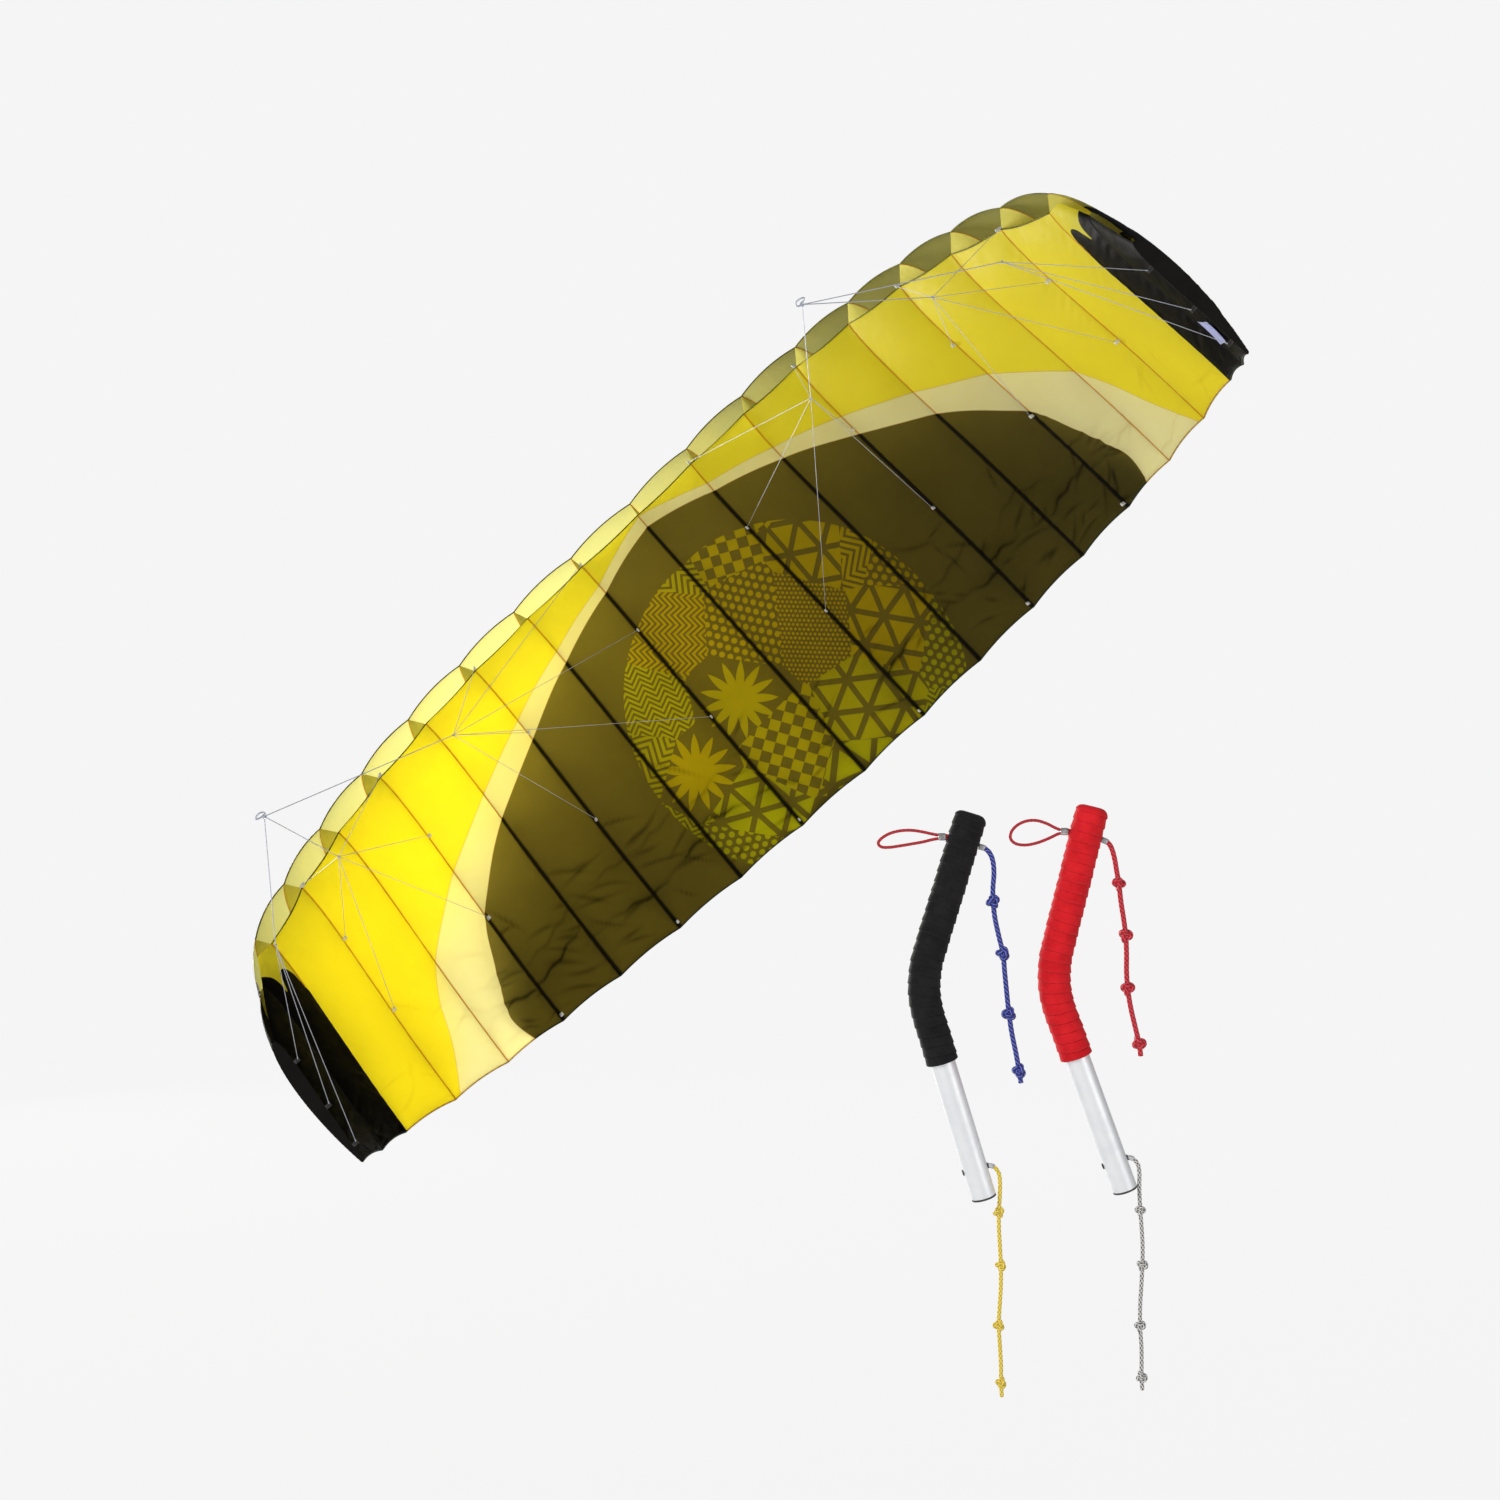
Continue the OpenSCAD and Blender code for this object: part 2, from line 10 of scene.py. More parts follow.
import bpy
import numpy as np
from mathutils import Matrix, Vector
from mathutils.geometry import tessellate_polygon


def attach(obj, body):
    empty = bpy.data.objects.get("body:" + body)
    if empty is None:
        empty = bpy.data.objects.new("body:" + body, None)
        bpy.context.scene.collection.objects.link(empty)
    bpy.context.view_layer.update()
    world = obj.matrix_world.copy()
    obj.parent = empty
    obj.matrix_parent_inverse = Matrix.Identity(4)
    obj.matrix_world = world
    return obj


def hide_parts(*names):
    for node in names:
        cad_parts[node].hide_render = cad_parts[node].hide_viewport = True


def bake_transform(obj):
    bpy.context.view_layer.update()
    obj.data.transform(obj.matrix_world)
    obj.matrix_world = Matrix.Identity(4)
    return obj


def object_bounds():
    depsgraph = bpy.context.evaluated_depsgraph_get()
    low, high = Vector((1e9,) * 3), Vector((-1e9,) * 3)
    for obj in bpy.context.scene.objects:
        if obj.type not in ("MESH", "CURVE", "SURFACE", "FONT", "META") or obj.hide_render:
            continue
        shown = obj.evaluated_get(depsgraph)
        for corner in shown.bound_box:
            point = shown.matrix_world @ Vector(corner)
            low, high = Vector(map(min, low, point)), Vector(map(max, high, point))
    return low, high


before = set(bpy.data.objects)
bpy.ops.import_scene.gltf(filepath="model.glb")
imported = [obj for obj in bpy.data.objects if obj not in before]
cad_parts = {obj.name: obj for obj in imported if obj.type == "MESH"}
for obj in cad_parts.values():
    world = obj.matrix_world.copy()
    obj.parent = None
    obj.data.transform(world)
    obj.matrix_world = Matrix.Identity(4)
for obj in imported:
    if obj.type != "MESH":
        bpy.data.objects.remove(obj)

CAD_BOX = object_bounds()
MM = 0.001
SIDES = ("left", "right")

# ---- wing, as in part.scad but for LIP_BOW -----------------------------------

CELLS = 10
CELL_W, TIP_CELL_W = 0.252, 0.144
ROOT_CHORD, CHORD_TAPER, CHORD_RETURN = 1.160, 0.890, 0.080
SWEEP, SWEEP_RETURN = 1.170, 0.180
TIP_ANGLE = math.radians(97)
ARC_POWER = 0.8
SECTION_T, CAMBER = 0.17, 0.045
INTAKE, INTAKE_CELLS = 0.065, 8
LIP_BOW = 0.012
BILLOW, NOSE_BILLOW = 0.013, 0.012
NOSE = 0.003
TRAILING_HALF_T = 0.0022
TIP_THINNING = 0.45
PITCH, BANK, YAW = math.radians(-7), math.radians(-42.2), math.radians(-9)
TOW_POINT = (0.650, -2.600, -0.960)
TOW_MID = np.array([0, TOW_POINT[1], TOW_POINT[2]])
BRAKE_RIBS = {1: "inner", 3: "middle", 5: "outer"}
BRAKE_CELLS = 6
TAB_ROWS = (0.06, 0.31, 0.62)
TIP_ROWS = (0.2, 0.57, 0.88)
JOINS = {
    "inner": ((0.600, -1.320, -0.640), (1, 3), TAB_ROWS),
    "outer": ((0.940, -1.560, -0.750), (5, 7), TAB_ROWS),
    "tip": ((1.040, -1.940, -0.930), (10,), TIP_ROWS),
}
PORTS = ((0.2, 0.34), (0.36, 0.34), (0.52, 0.32))


def turn_matrix(x, y, z):
    """Turns about X, then Y, then Z."""
    cx, sx, cy, sy, cz, sz = math.cos(x), math.sin(x), math.cos(y), math.sin(y), math.cos(z), math.sin(z)
    about_x = np.array([[1, 0, 0], [0, cx, -sx], [0, sx, cx]])
    about_y = np.array([[cy, 0, sy], [0, 1, 0], [-sy, 0, cy]])
    about_z = np.array([[cz, -sz, 0], [sz, cz, 0], [0, 0, 1]])
    return about_z @ about_y @ about_x


ATTITUDE = turn_matrix(PITCH, BANK, YAW)


def flying(points, right=True):
    """Points in the wing's own axes, placed in the model's frame; the left half is mirrored."""
    points = np.asarray(points, float)
    if not right:
        points = points * [-1, 1, 1]
    return (points - TOW_MID) @ ATTITUDE.T


def arc_angle(u):
    return TIP_ANGLE * (np.asarray(u, float) / CELLS) ** ARC_POWER


def chord(u):
    s = np.asarray(u, float) / CELLS
    return ROOT_CHORD - CHORD_TAPER * s**2 + CHORD_RETURN * s**4


def nose_z(u):
    s = np.asarray(u, float) / CELLS
    return SWEEP_RETURN * s**4 - SWEEP * s**2


WIDTHS = np.where(np.arange(CELLS) < INTAKE_CELLS, CELL_W, TIP_CELL_W)
MIDDLES = arc_angle(np.arange(CELLS) + 0.5)
RIB_X = np.concatenate([[0], np.cumsum(WIDTHS * np.cos(MIDDLES))])
RIB_Y = np.concatenate([[0], -np.cumsum(WIDTHS * np.sin(MIDDLES))])
RIB_FLAT = np.concatenate([[0], np.cumsum(WIDTHS)])


def half_thickness(c):
    return 5 * SECTION_T * (0.2969 * np.sqrt(c) - 0.126 * c - 0.3516 * c**2 + 0.2843 * c**3 - 0.1036 * c**4)


def section_y(u, c, side):
    """Height of the cloth above the chord line at a rib; side is 1 above and -1 below."""
    thinning = 1 - TIP_THINNING * (u / CELLS) ** 3
    height = chord(u) * thinning * (4 * CAMBER * c * (1 - c) + side * half_thickness(c))
    return height + side * TRAILING_HALF_T * c


def puff(u):
    f = u - np.minimum(np.floor(u), CELLS - 1)
    return 4 * f * (1 - f)


def swell(u, c):
    """How far the air pressure lifts the cloth between two ribs."""
    k = np.minimum(np.floor(u), CELLS - 1).astype(int)
    return BILLOW * puff(u) * WIDTHS[k] / CELL_W * (1 - c * c) * np.minimum(1, 0.4 + 4 * c)


def intake_edge(u):
    return np.maximum(NOSE, INTAKE * np.minimum(1, (INTAKE_CELLS + 0.5 - u) / 0.5))


def lip_edge(u):
    """Chord share of the lower lip of the intake, which bows back between the ribs."""
    return intake_edge(u) + LIP_BOW * puff(u) * (u < INTAKE_CELLS)


def wing_point(u, c, side, lift=0.0):
    """A point of the cloth in the wing's axes, at span position u and chord share c, raised by lift."""
    u, c, side, lift = np.broadcast_arrays(*[np.asarray(v, float) for v in (u, c, side, lift)])
    k = np.minimum(np.floor(u), CELLS - 1).astype(int)
    f, a = u - k, arc_angle(u)
    height = section_y(u, c, side) + side * (swell(u, c) + lift)
    forward = NOSE_BILLOW * puff(u) * np.maximum(0, 1 - c / 0.1)
    x = RIB_X[k] + (RIB_X[k + 1] - RIB_X[k]) * f + np.sin(a) * height
    y = RIB_Y[k] + (RIB_Y[k + 1] - RIB_Y[k]) * f + np.cos(a) * height
    z = nose_z(u) - c * chord(u) + forward
    return np.stack([x, y, z], axis=-1)


def cloth_point(u, c, side, right, lift=0.0):
    return flying(wing_point(u, c, side, lift), right)


# ---- meshes ------------------------------------------------------------------


def grid_faces(rows, cols, start=0, closed=False):
    """Quads of a grid of points; closed joins the last column to the first."""
    r, c = np.meshgrid(np.arange(rows - 1), np.arange(cols if closed else cols - 1), indexing="ij")
    nxt = (c + 1) % cols
    quads = np.stack([r * cols + c, r * cols + nxt, (r + 1) * cols + nxt, (r + 1) * cols + c], axis=-1)
    return quads.reshape(-1, 4) + start


def make_piece(name, points, faces, material, smooth=True):
    """A mesh object at the frame's origin."""
    mesh = bpy.data.meshes.new(name)
    mesh.from_pydata([tuple(p) for p in points], [], [tuple(int(i) for i in f) for f in faces])
    piece = bpy.data.objects.new(name, mesh)
    bpy.context.scene.collection.objects.link(piece)
    mesh.materials.append(material)
    mesh.polygons.foreach_set("use_smooth", [smooth] * len(mesh.polygons))
    mesh.update()
    return piece


def stand_in(piece, body, node):
    """The piece rides on a body and is shown in place of a CAD node."""
    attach(piece, body)
    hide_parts(node)


def set_attribute(piece, name, values):
    values = np.asarray(values, np.float32)
    if values.ndim == 1:
        piece.data.attributes.new(name, "FLOAT", "POINT").data.foreach_set("value", values)
    else:
        piece.data.attributes.new(name, "FLOAT_VECTOR", "POINT").data.foreach_set("vector", values.ravel())


def smooth_line(points, steps):
    """Catmull-Rom curve through the points, with a number of steps between each two."""
    p = np.asarray(points, float)
    ends = np.concatenate([[2 * p[0] - p[1]], p, [2 * p[-1] - p[-2]]])
    out = []
    for i in range(len(p) - 1):
        a, b, c, d = ends[i : i + 4]
        square, cube = 2 * a - 5 * b + 4 * c - d, 3 * b - a - 3 * c + d
        for s in range(steps):
            t = s / steps
            out.append(0.5 * (2 * b + (c - a) * t + square * t**2 + cube * t**3))
    return np.array(out + [p[-1]])


def run_of(line):
    """Distance along a line at each of its points."""
    return np.concatenate([[0], np.cumsum(np.linalg.norm(np.diff(line, axis=0), axis=1))])


def even_line(line, step):
    """The same line with its points about step apart."""
    run = run_of(line)
    at = np.linspace(0, run[-1], max(2, math.ceil(run[-1] / step) + 1))
    return np.stack([np.interp(at, run, line[:, i]) for i in range(3)], axis=1)


def frames_along(line, closed=False):
    """Two directions across a line at each point, turning as little as possible."""
    if closed:
        tangents = np.roll(line, -1, 0) - np.roll(line, 1, 0)
    else:
        tangents = np.gradient(line, axis=0)
    tangents /= np.linalg.norm(tangents, axis=1)[:, None]
    start = np.cross(tangents[0], [0, 1, 0])
    if np.linalg.norm(start) < 0.1:
        start = np.cross(tangents[0], [1, 0, 0])
    across, first = [], start / np.linalg.norm(start)
    for t in tangents:
        first = first - t * (first @ t)
        first = first / np.linalg.norm(first)
        across.append(first)
    across = np.array(across)
    if closed:  # spread the twist that is left at the end over the whole loop
        last = across[-1] - tangents[0] * (across[-1] @ tangents[0])
        second = np.cross(tangents[0], across[0])
        twist = math.atan2(last @ second, last @ across[0])
        turns = -twist * np.arange(len(line)) / (len(line) - 1)
        other = np.cross(tangents, across)
        across = across * np.cos(turns)[:, None] + other * np.sin(turns)[:, None]
    return across, np.cross(tangents, across)


def braid_relief(run, around, radius, strands=8):
    """Height of a braided cord's strands over its mean surface."""
    lay = run / (radius * 2.4)
    one = np.cos(strands / 2 * around + 2 * np.pi * lay)
    two = np.cos(strands / 2 * around - 2 * np.pi * lay)
    return 0.055 * radius * np.maximum(one, two)


class Parts:
    """Collects points, faces and a run/around pair for each point, so that many tubes make one mesh."""

    def __init__(self):
        self.points, self.faces, self.runs, self.count = [], [], [], 0

    def add(self, points, faces, run=None, around=None):
        points = np.asarray(points, float).reshape(-1, 3)
        self.points.append(points)
        self.faces += [tuple(int(i) + self.count for i in f) for f in faces]
        run = np.zeros(len(points)) if run is None else np.asarray(run).ravel()
        around = np.zeros(len(points)) if around is None else np.asarray(around).ravel()
        self.runs.append(np.stack([run, np.cos(around), np.sin(around)], axis=1))
        self.count += len(points)

    def tube(self, line, radius, sides, closed=False, relief=None):
        """A tube along a line; radius is a number or one value for each point."""
        line = np.asarray(line, float)
        one, two = frames_along(line, closed)
        run = run_of(line)[:, None]
        around = np.arange(sides)[None, :] * 2 * np.pi / sides
        size = np.broadcast_to(np.asarray(radius, float), (len(line),))[:, None] + 0 * around
        if relief is not None:
            size = size + relief(run, around, size)
        points = line[:, None] + one[:, None] * (np.cos(around) * size)[..., None]
        points = points + two[:, None] * (np.sin(around) * size)[..., None]
        faces = [tuple(f) for f in grid_faces(len(line), sides, closed=True)]
        if closed:
            last = (len(line) - 1) * sides
            faces += [(last + i, last + (i + 1) % sides, (i + 1) % sides, i) for i in range(sides)]
        else:
            faces += [tuple(range(sides))[::-1], tuple((len(line) - 1) * sides + i for i in range(sides))]
        self.add(points, faces, run + 0 * around, 0 * run + around)

    def make(self, name, material):
        piece = make_piece(name, np.concatenate(self.points), self.faces, material)
        set_attribute(piece, "run", np.concatenate(self.runs))
        return piece


# ---- node graphs -------------------------------------------------------------


def linear(r, g, b):
    """An 8-bit display colour as the linear colour that nodes take."""
    return tuple(((v / 255 + 0.055) / 1.055) ** 2.4 if v > 10 else v / 3294.6 for v in (r, g, b)) + (1.0,)


class Graph:
    """A material whose nodes are made by short calls; a socket or a constant goes in anywhere."""

    def __init__(self, name):
        self.material = bpy.data.materials.new(name)
        self.material.use_nodes = True
        self.tree = self.material.node_tree
        self.tree.nodes.clear()
        self.output = self.tree.nodes.new("ShaderNodeOutputMaterial")

    def put(self, socket, value):
        if isinstance(value, bpy.types.NodeSocket):
            self.tree.links.new(value, socket)
        else:
            socket.default_value = value

    def node(self, kind, inputs=None, **settings):
        n = self.tree.nodes.new(kind)
        for key, value in settings.items():
            setattr(n, key, value)
        for key, value in (inputs or {}).items():
            self.put(n.inputs[key], value)
        return n

    def math(self, operation, a, b=0.0):
        return self.node("ShaderNodeMath", {0: a, 1: b, 2: 0.0}, operation=operation).outputs[0]

    def times(self, a, b):
        return self.math("MULTIPLY", a, b)

    def plus(self, a, b):
        return self.math("ADD", a, b)

    def minus(self, a, b):
        return self.math("SUBTRACT", a, b)

    def size(self, a):
        return self.math("ABSOLUTE", a)

    def length(self, a, b):
        return self.math("SQRT", self.plus(self.times(a, a), self.times(b, b)))

    def vector(self, operation, a, b=(0, 0, 0)):
        return self.node("ShaderNodeVectorMath", {0: a, 1: b}, operation=operation).outputs[0]

    def attribute(self, name, output="Fac"):
        return self.node("ShaderNodeAttribute", attribute_name=name).outputs[output]

    def split(self, vector):
        return self.node("ShaderNodeSeparateXYZ", {0: vector}).outputs

    def mix(self, factor, a, b):
        return self.node("ShaderNodeMix", {0: factor, 6: a, 7: b}, data_type="RGBA").outputs[2]

    def choose(self, factor, a, b):
        return self.node("ShaderNodeMix", {0: factor, 2: a, 3: b}, data_type="FLOAT").outputs[0]

    def ramp(self, value, low, high, start=0.0, end=1.0):
        """Goes smoothly from start to end as value goes from low to high."""
        inputs = {0: value, 1: low, 2: high, 3: start, 4: end}
        return self.node("ShaderNodeMapRange", inputs, interpolation_type="SMOOTHSTEP").outputs[0]

    def noise(self, place, scale, detail=3.0, rough=0.5):
        inputs = {"Vector": place, "Scale": scale, "Detail": detail, "Roughness": rough}
        return self.node("ShaderNodeTexNoise", inputs).outputs[0]

    def object_place(self):
        return self.node("ShaderNodeTexCoord").outputs["Object"]

    def bump(self, height, distance, strength=1.0, normal=None):
        inputs = {"Height": height, "Distance": distance, "Strength": strength}
        if normal is not None:
            inputs["Normal"] = normal
        return self.node("ShaderNodeBump", inputs).outputs[0]

    def principled(self, **inputs):
        named = {key.replace("_", " "): value for key, value in inputs.items()}
        return self.node("ShaderNodeBsdfPrincipled", named).outputs[0]

    def done(self, shader):
        self.tree.links.new(shader, self.output.inputs["Surface"])
        return self.material

    def backlit(self, face, share, **glow):
        """Finishes a cloth: a share of what is seen is the light that comes through it."""
        through = self.node("ShaderNodeBsdfTranslucent", glow).outputs[0]
        return self.done(self.node("ShaderNodeMixShader", {0: share, 1: face, 2: through}).outputs[0])


# ---- cloth materials ---------------------------------------------------------

YELLOW = linear(255, 242, 62)
CREAM = linear(254, 249, 200)
DARK = linear(140, 129, 66)
PRINT_YELLOW, PRINT_GOLD = linear(204, 204, 44), linear(214, 190, 34)
TIP_BLACK = linear(6, 6, 6)
LIME = linear(162, 160, 96)
# Seam colours, also used for the painted shade along the ribs
SEAM_AND_SHADE_BROWN = linear(206, 142, 12)
SEAM_AND_SHADE_BLACK = linear(14, 11, 5)
DISC_AT, DISC_R = 0.735, 0.55
RIPSTOP = 0.005
EDGE_BLUR = 0.0006
STITCH_FROM_RIB, STITCH_PITCH = 0.0035, 0.006


def patchwork(g):
    """Generic patchwork of dots, checks, stripes, chevrons, triangles and stars; 1 where it is printed."""
    place = g.attribute("disc", "Vector")
    patches = g.node(
        "ShaderNodeTexVoronoi", {"Vector": place, "Scale": 4.1, "Randomness": 0.95}, voronoi_dimensions="2D"
    )
    pick, spin, tone = g.node("ShaderNodeSeparateColor", {0: patches.outputs["Color"]}).outputs[:3]
    centre = g.vector("SUBTRACT", place, patches.outputs["Position"])
    turn = {"Vector": centre, "Angle": g.times(spin, 2 * math.pi)}
    spun = g.node("ShaderNodeVectorRotate", turn, rotation_type="Z_AXIS").outputs[0]
    x, y, _ = g.split(spun)

    def saw(value, pitch):
        return g.math("FRACT", g.math("DIVIDE", value, pitch))

    def off_middle(value, pitch):
        return g.size(g.minus(saw(value, pitch), 0.5))

    def dots(pitch, radius):
        row = g.math("FLOOR", g.math("DIVIDE", y, pitch))
        shifted = g.plus(x, g.times(g.math("FLOORED_MODULO", row, 2.0), pitch / 2))
        one, two = off_middle(shifted, pitch), off_middle(y, pitch)
        return g.math("LESS_THAN", g.length(one, two), radius / pitch)

    def stripes(pitch, share):
        return g.math("LESS_THAN", saw(y, pitch), share)

    def chevrons(width, height, pitch, share):
        zigzag = g.times(off_middle(x, width), 2 * height)
        return g.math("LESS_THAN", saw(g.plus(y, zigzag), pitch), share)

    def checks(pitch):
        return g.node("ShaderNodeTexChecker", {"Vector": spun, "Scale": 1 / pitch}).outputs["Fac"]

    def triangles(pitch, gap):
        kept = None
        for direction in (90, 210, 330):
            d = math.radians(direction)
            across = g.plus(g.times(x, math.cos(d)), g.times(y, math.sin(d)))
            off_line = off_middle(g.plus(across, pitch / 2), pitch)
            clear = g.math("GREATER_THAN", off_line, gap / pitch / 2)
            kept = clear if kept is None else g.times(kept, clear)
        return kept

    def star(points, inner, outer):
        turn = g.times(g.math("ARCTAN2", y, x), points / (2 * math.pi))
        spikes = g.times(g.size(g.minus(g.math("FRACT", turn), 0.5)), 2.0)
        reach = g.plus(inner, g.times(spikes, outer - inner))
        return g.math("LESS_THAN", g.length(x, y), reach)

    choices = [
        triangles(0.120, 0.021),
        dots(0.027, 0.0095),
        chevrons(0.060, 0.030, 0.020, 0.52),
        star(13, 0.055, 0.125),
        checks(0.034),
        triangles(0.098, 0.018),
        stripes(0.016, 0.5),
        dots(0.014, 0.0045),
        chevrons(0.110, 0.055, 0.026, 0.55),
    ]
    printed = choices[0]
    for i, pattern in enumerate(choices[1:], 1):
        printed = g.choose(g.math("GREATER_THAN", pick, i / len(choices)), printed, pattern)
    return printed, tone


def cloth_material(name):
    """Coated ripstop cloth of the canopy, with its panels, printed disc, tip print and rib seams, and painted
    shade beside the ribs and along the creases.
    """
    g = Graph(name)
    flat = g.attribute("flat", "Vector")
    yellow_edge, dark_edge = g.attribute("yellow_edge"), g.attribute("dark_edge")
    rib_gap, chord_share = g.attribute("rib_gap"), g.attribute("chord_share")
    dark = g.ramp(dark_edge, -EDGE_BLUR, EDGE_BLUR)
    cream = g.ramp(yellow_edge, -EDGE_BLUR, EDGE_BLUR)
    color = g.mix(cream, YELLOW, CREAM)
    # Greenish band along the nose of the upper surface
    lime = g.times(g.ramp(chord_share, 0.135, 0.105), g.attribute("upper"))
    color = g.mix(lime, color, LIME)
    printed, tone = patchwork(g)
    disc = g.node("ShaderNodeVectorMath", {0: g.attribute("disc", "Vector")}, operation="LENGTH")
    inside = g.math("LESS_THAN", disc.outputs["Value"], DISC_R)
    field = g.mix(g.times(printed, inside), DARK, g.mix(tone, PRINT_YELLOW, PRINT_GOLD))
    color = g.mix(dark, color, field)
    tip = g.ramp(g.attribute("tip_edge"), -EDGE_BLUR, EDGE_BLUR)
    color = g.mix(tip, color, TIP_BLACK)
    black = g.math("MAXIMUM", dark, tip)
    # Felled panel seams, and over each rib its sewn seam with painted shade where the rib blocks the light
    # coming through
    felled = g.math("MINIMUM", g.size(yellow_edge), g.size(dark_edge))
    felled_line = g.times(g.ramp(felled, 0.0022, 0.0008), 0.35)
    color = g.mix(felled_line, color, SEAM_AND_SHADE_BROWN)
    wide = g.choose(black, 0.0045, 0.012)
    rib_seam_and_shade = g.minus(1.0, g.ramp(g.math("DIVIDE", rib_gap, wide), 0.2, 1.0))
    rib_seam_and_shade = g.times(rib_seam_and_shade, g.choose(black, 0.55, 0.97))
    color = g.mix(rib_seam_and_shade, color, g.mix(black, SEAM_AND_SHADE_BROWN, SEAM_AND_SHADE_BLACK))
    # Uneven dye and handling marks
    stain = g.noise(flat, 5.0, 4.0, 0.6)
    handled = g.mix(black, linear(216, 184, 24), linear(38, 34, 14))
    color = g.mix(g.ramp(stain, 0.35, 0.75, 0.0, 0.10), color, handled)
    # Painted shade along the creases, standing in for the folded cloth letting less light through
    crease_shade = g.times(g.attribute("crease_shade"), g.choose(black, 0.22, 0.80))
    color = g.mix(crease_shade, color, g.mix(black, linear(190, 150, 18), linear(14, 12, 4)))
    # Ripstop squares, and the fine crinkle of coated cloth
    fx, fy, _ = g.split(flat)
    threads = [g.math("PINGPONG", g.plus(value, 10.0), RIPSTOP / 2) for value in (fx, fy)]
    ridge = g.ramp(g.math("MINIMUM", *threads), 0.0006, 0.0)
    color = g.mix(g.times(ridge, 0.06), color, linear(60, 52, 10))
    crinkle = g.noise(flat, 26.0, 5.0, 0.62)
    normal = g.bump(ridge, 0.00012, 0.6)
    normal = g.bump(crinkle, 0.004, 0.32, normal)
    beside_rib = g.ramp(g.size(g.minus(rib_gap, STITCH_FROM_RIB)), 0.0009, 0.0002)
    stitched = g.math("LESS_THAN", g.math("FRACT", g.math("DIVIDE", fy, STITCH_PITCH)), 0.62)
    normal = g.bump(g.times(beside_rib, stitched), 0.0006, 0.8, normal)
    rough = g.ramp(crinkle, 0.3, 0.7, 0.46, 0.62)
    # The dark dye lets through more light than it throws back
    front = g.mix(g.times(black, 0.7), color, linear(8, 7, 4))
    face = g.principled(
        Base_Color=front, Roughness=rough, Normal=normal, Sheen_Weight=0.015, Sheen_Roughness=0.4,
        Specular_IOR_Level=0.08,
    )  # fmt: skip
    return g.backlit(face, 0.62, Color=color, Normal=normal)


def plain_cloth(name, color, second, see):
    """One-coloured ripstop, for ribs, hems and tip walls; see is the share of light that comes through."""
    g = Graph(name)
    place = g.object_place()
    stain = g.noise(place, 9.0, 4.0, 0.6)
    shade = g.mix(g.ramp(stain, 0.3, 0.75), color, second)
    squares = g.node("ShaderNodeTexBrick", {"Vector": place, "Scale": 1.0 / RIPSTOP, "Mortar Size": 0.08})
    squares.offset = 0.0
    normal = g.bump(squares.outputs["Fac"], 0.0002, 0.5)
    normal = g.bump(g.noise(place, 60.0, 4.0), 0.002, 0.4, normal)
    rough = g.ramp(stain, 0.3, 0.7, 0.5, 0.68)
    face = g.principled(
        Base_Color=shade, Roughness=rough, Normal=normal, Sheen_Weight=0.03, Specular_IOR_Level=0.15
    )
    return g.backlit(face, see, Color=shade)


def thread_material(name, light, shade):
    """Thread or sewn tape: one colour over the yellow panels and another over the dark ones."""
    g = Graph(name)
    edges = [g.ramp(g.attribute(edge), -0.001, 0.001) for edge in ("dark_edge", "tip_edge")]
    dark = g.math("MAXIMUM", *edges)
    color = g.mix(dark, light, shade)
    _, run, _ = g.split(g.attribute("flat", "Vector"))
    twist = g.math("PINGPONG", g.plus(run, 10.0), 0.0015)
    # Painted shade in the grooves between the thread's twists
    color = g.mix(g.ramp(twist, 0.0004, 0.0, 0.0, 0.5), color, linear(60, 42, 8))
    normal = g.bump(g.ramp(twist, 0.0, 0.0012), 0.0006, 0.8)
    rough = g.ramp(twist, 0.0, 0.0015, 0.85, 0.6)
    face = g.principled(Base_Color=color, Roughness=rough, Normal=normal, Sheen_Weight=0.1)
    return g.backlit(face, 0.6, Color=color, Normal=normal)


def braid_material(name, light, shadow, fleck=None):
    """Braided cord, whose strands follow the run attribute."""
    g = Graph(name)
    run, across, over = g.split(g.attribute("run", "Vector"))
    around = g.math("ARCTAN2", over, across)
    lay = g.times(run, 2 * math.pi / 0.0048)
    turns = g.times(around, 4.0)
    one = g.math("COSINE", g.plus(turns, lay))
    two = g.math("COSINE", g.minus(turns, lay))
    strands = g.math("MAXIMUM", one, two)
    color = g.mix(g.ramp(strands, 0.1, 0.9), shadow, light)
    if fleck is not None:
        color = g.mix(g.ramp(one, 0.75, 0.95), color, fleck)
    fuzz = g.noise(g.object_place(), 900.0, 3.0, 0.6)
    color = g.mix(g.ramp(fuzz, 0.5, 0.8, 0.0, 0.25), color, shadow)
    normal = g.bump(strands, 0.0004, 0.7)
    normal = g.bump(fuzz, 0.0001, 0.5, normal)
    rough = g.ramp(fuzz, 0.3, 0.7, 0.55, 0.75)
    face = g.principled(
        Base_Color=color, Roughness=rough, Normal=normal, Sheen_Weight=0.12, Sheen_Roughness=0.45
    )
    return g.done(face)


def webbing_material(name, light, shadow):
    """Woven tape: fine ribs and a little fuzz."""
    g = Graph(name)
    place = g.object_place()
    wave = g.node("ShaderNodeTexWave", {"Vector": place, "Scale": 300.0, "Distortion": 0.4})
    fuzz = g.noise(place, 700.0, 3.0)
    color = g.mix(g.times(wave.outputs["Fac"], 0.35), light, shadow)
    color = g.mix(g.ramp(fuzz, 0.45, 0.8, 0.0, 0.3), color, shadow)
    normal = g.bump(wave.outputs["Fac"], 0.0003, 0.7)
    rough = g.ramp(fuzz, 0.3, 0.7, 0.65, 0.85)
    return g.done(g.principled(Base_Color=color, Roughness=rough, Normal=normal, Sheen_Weight=0.25))


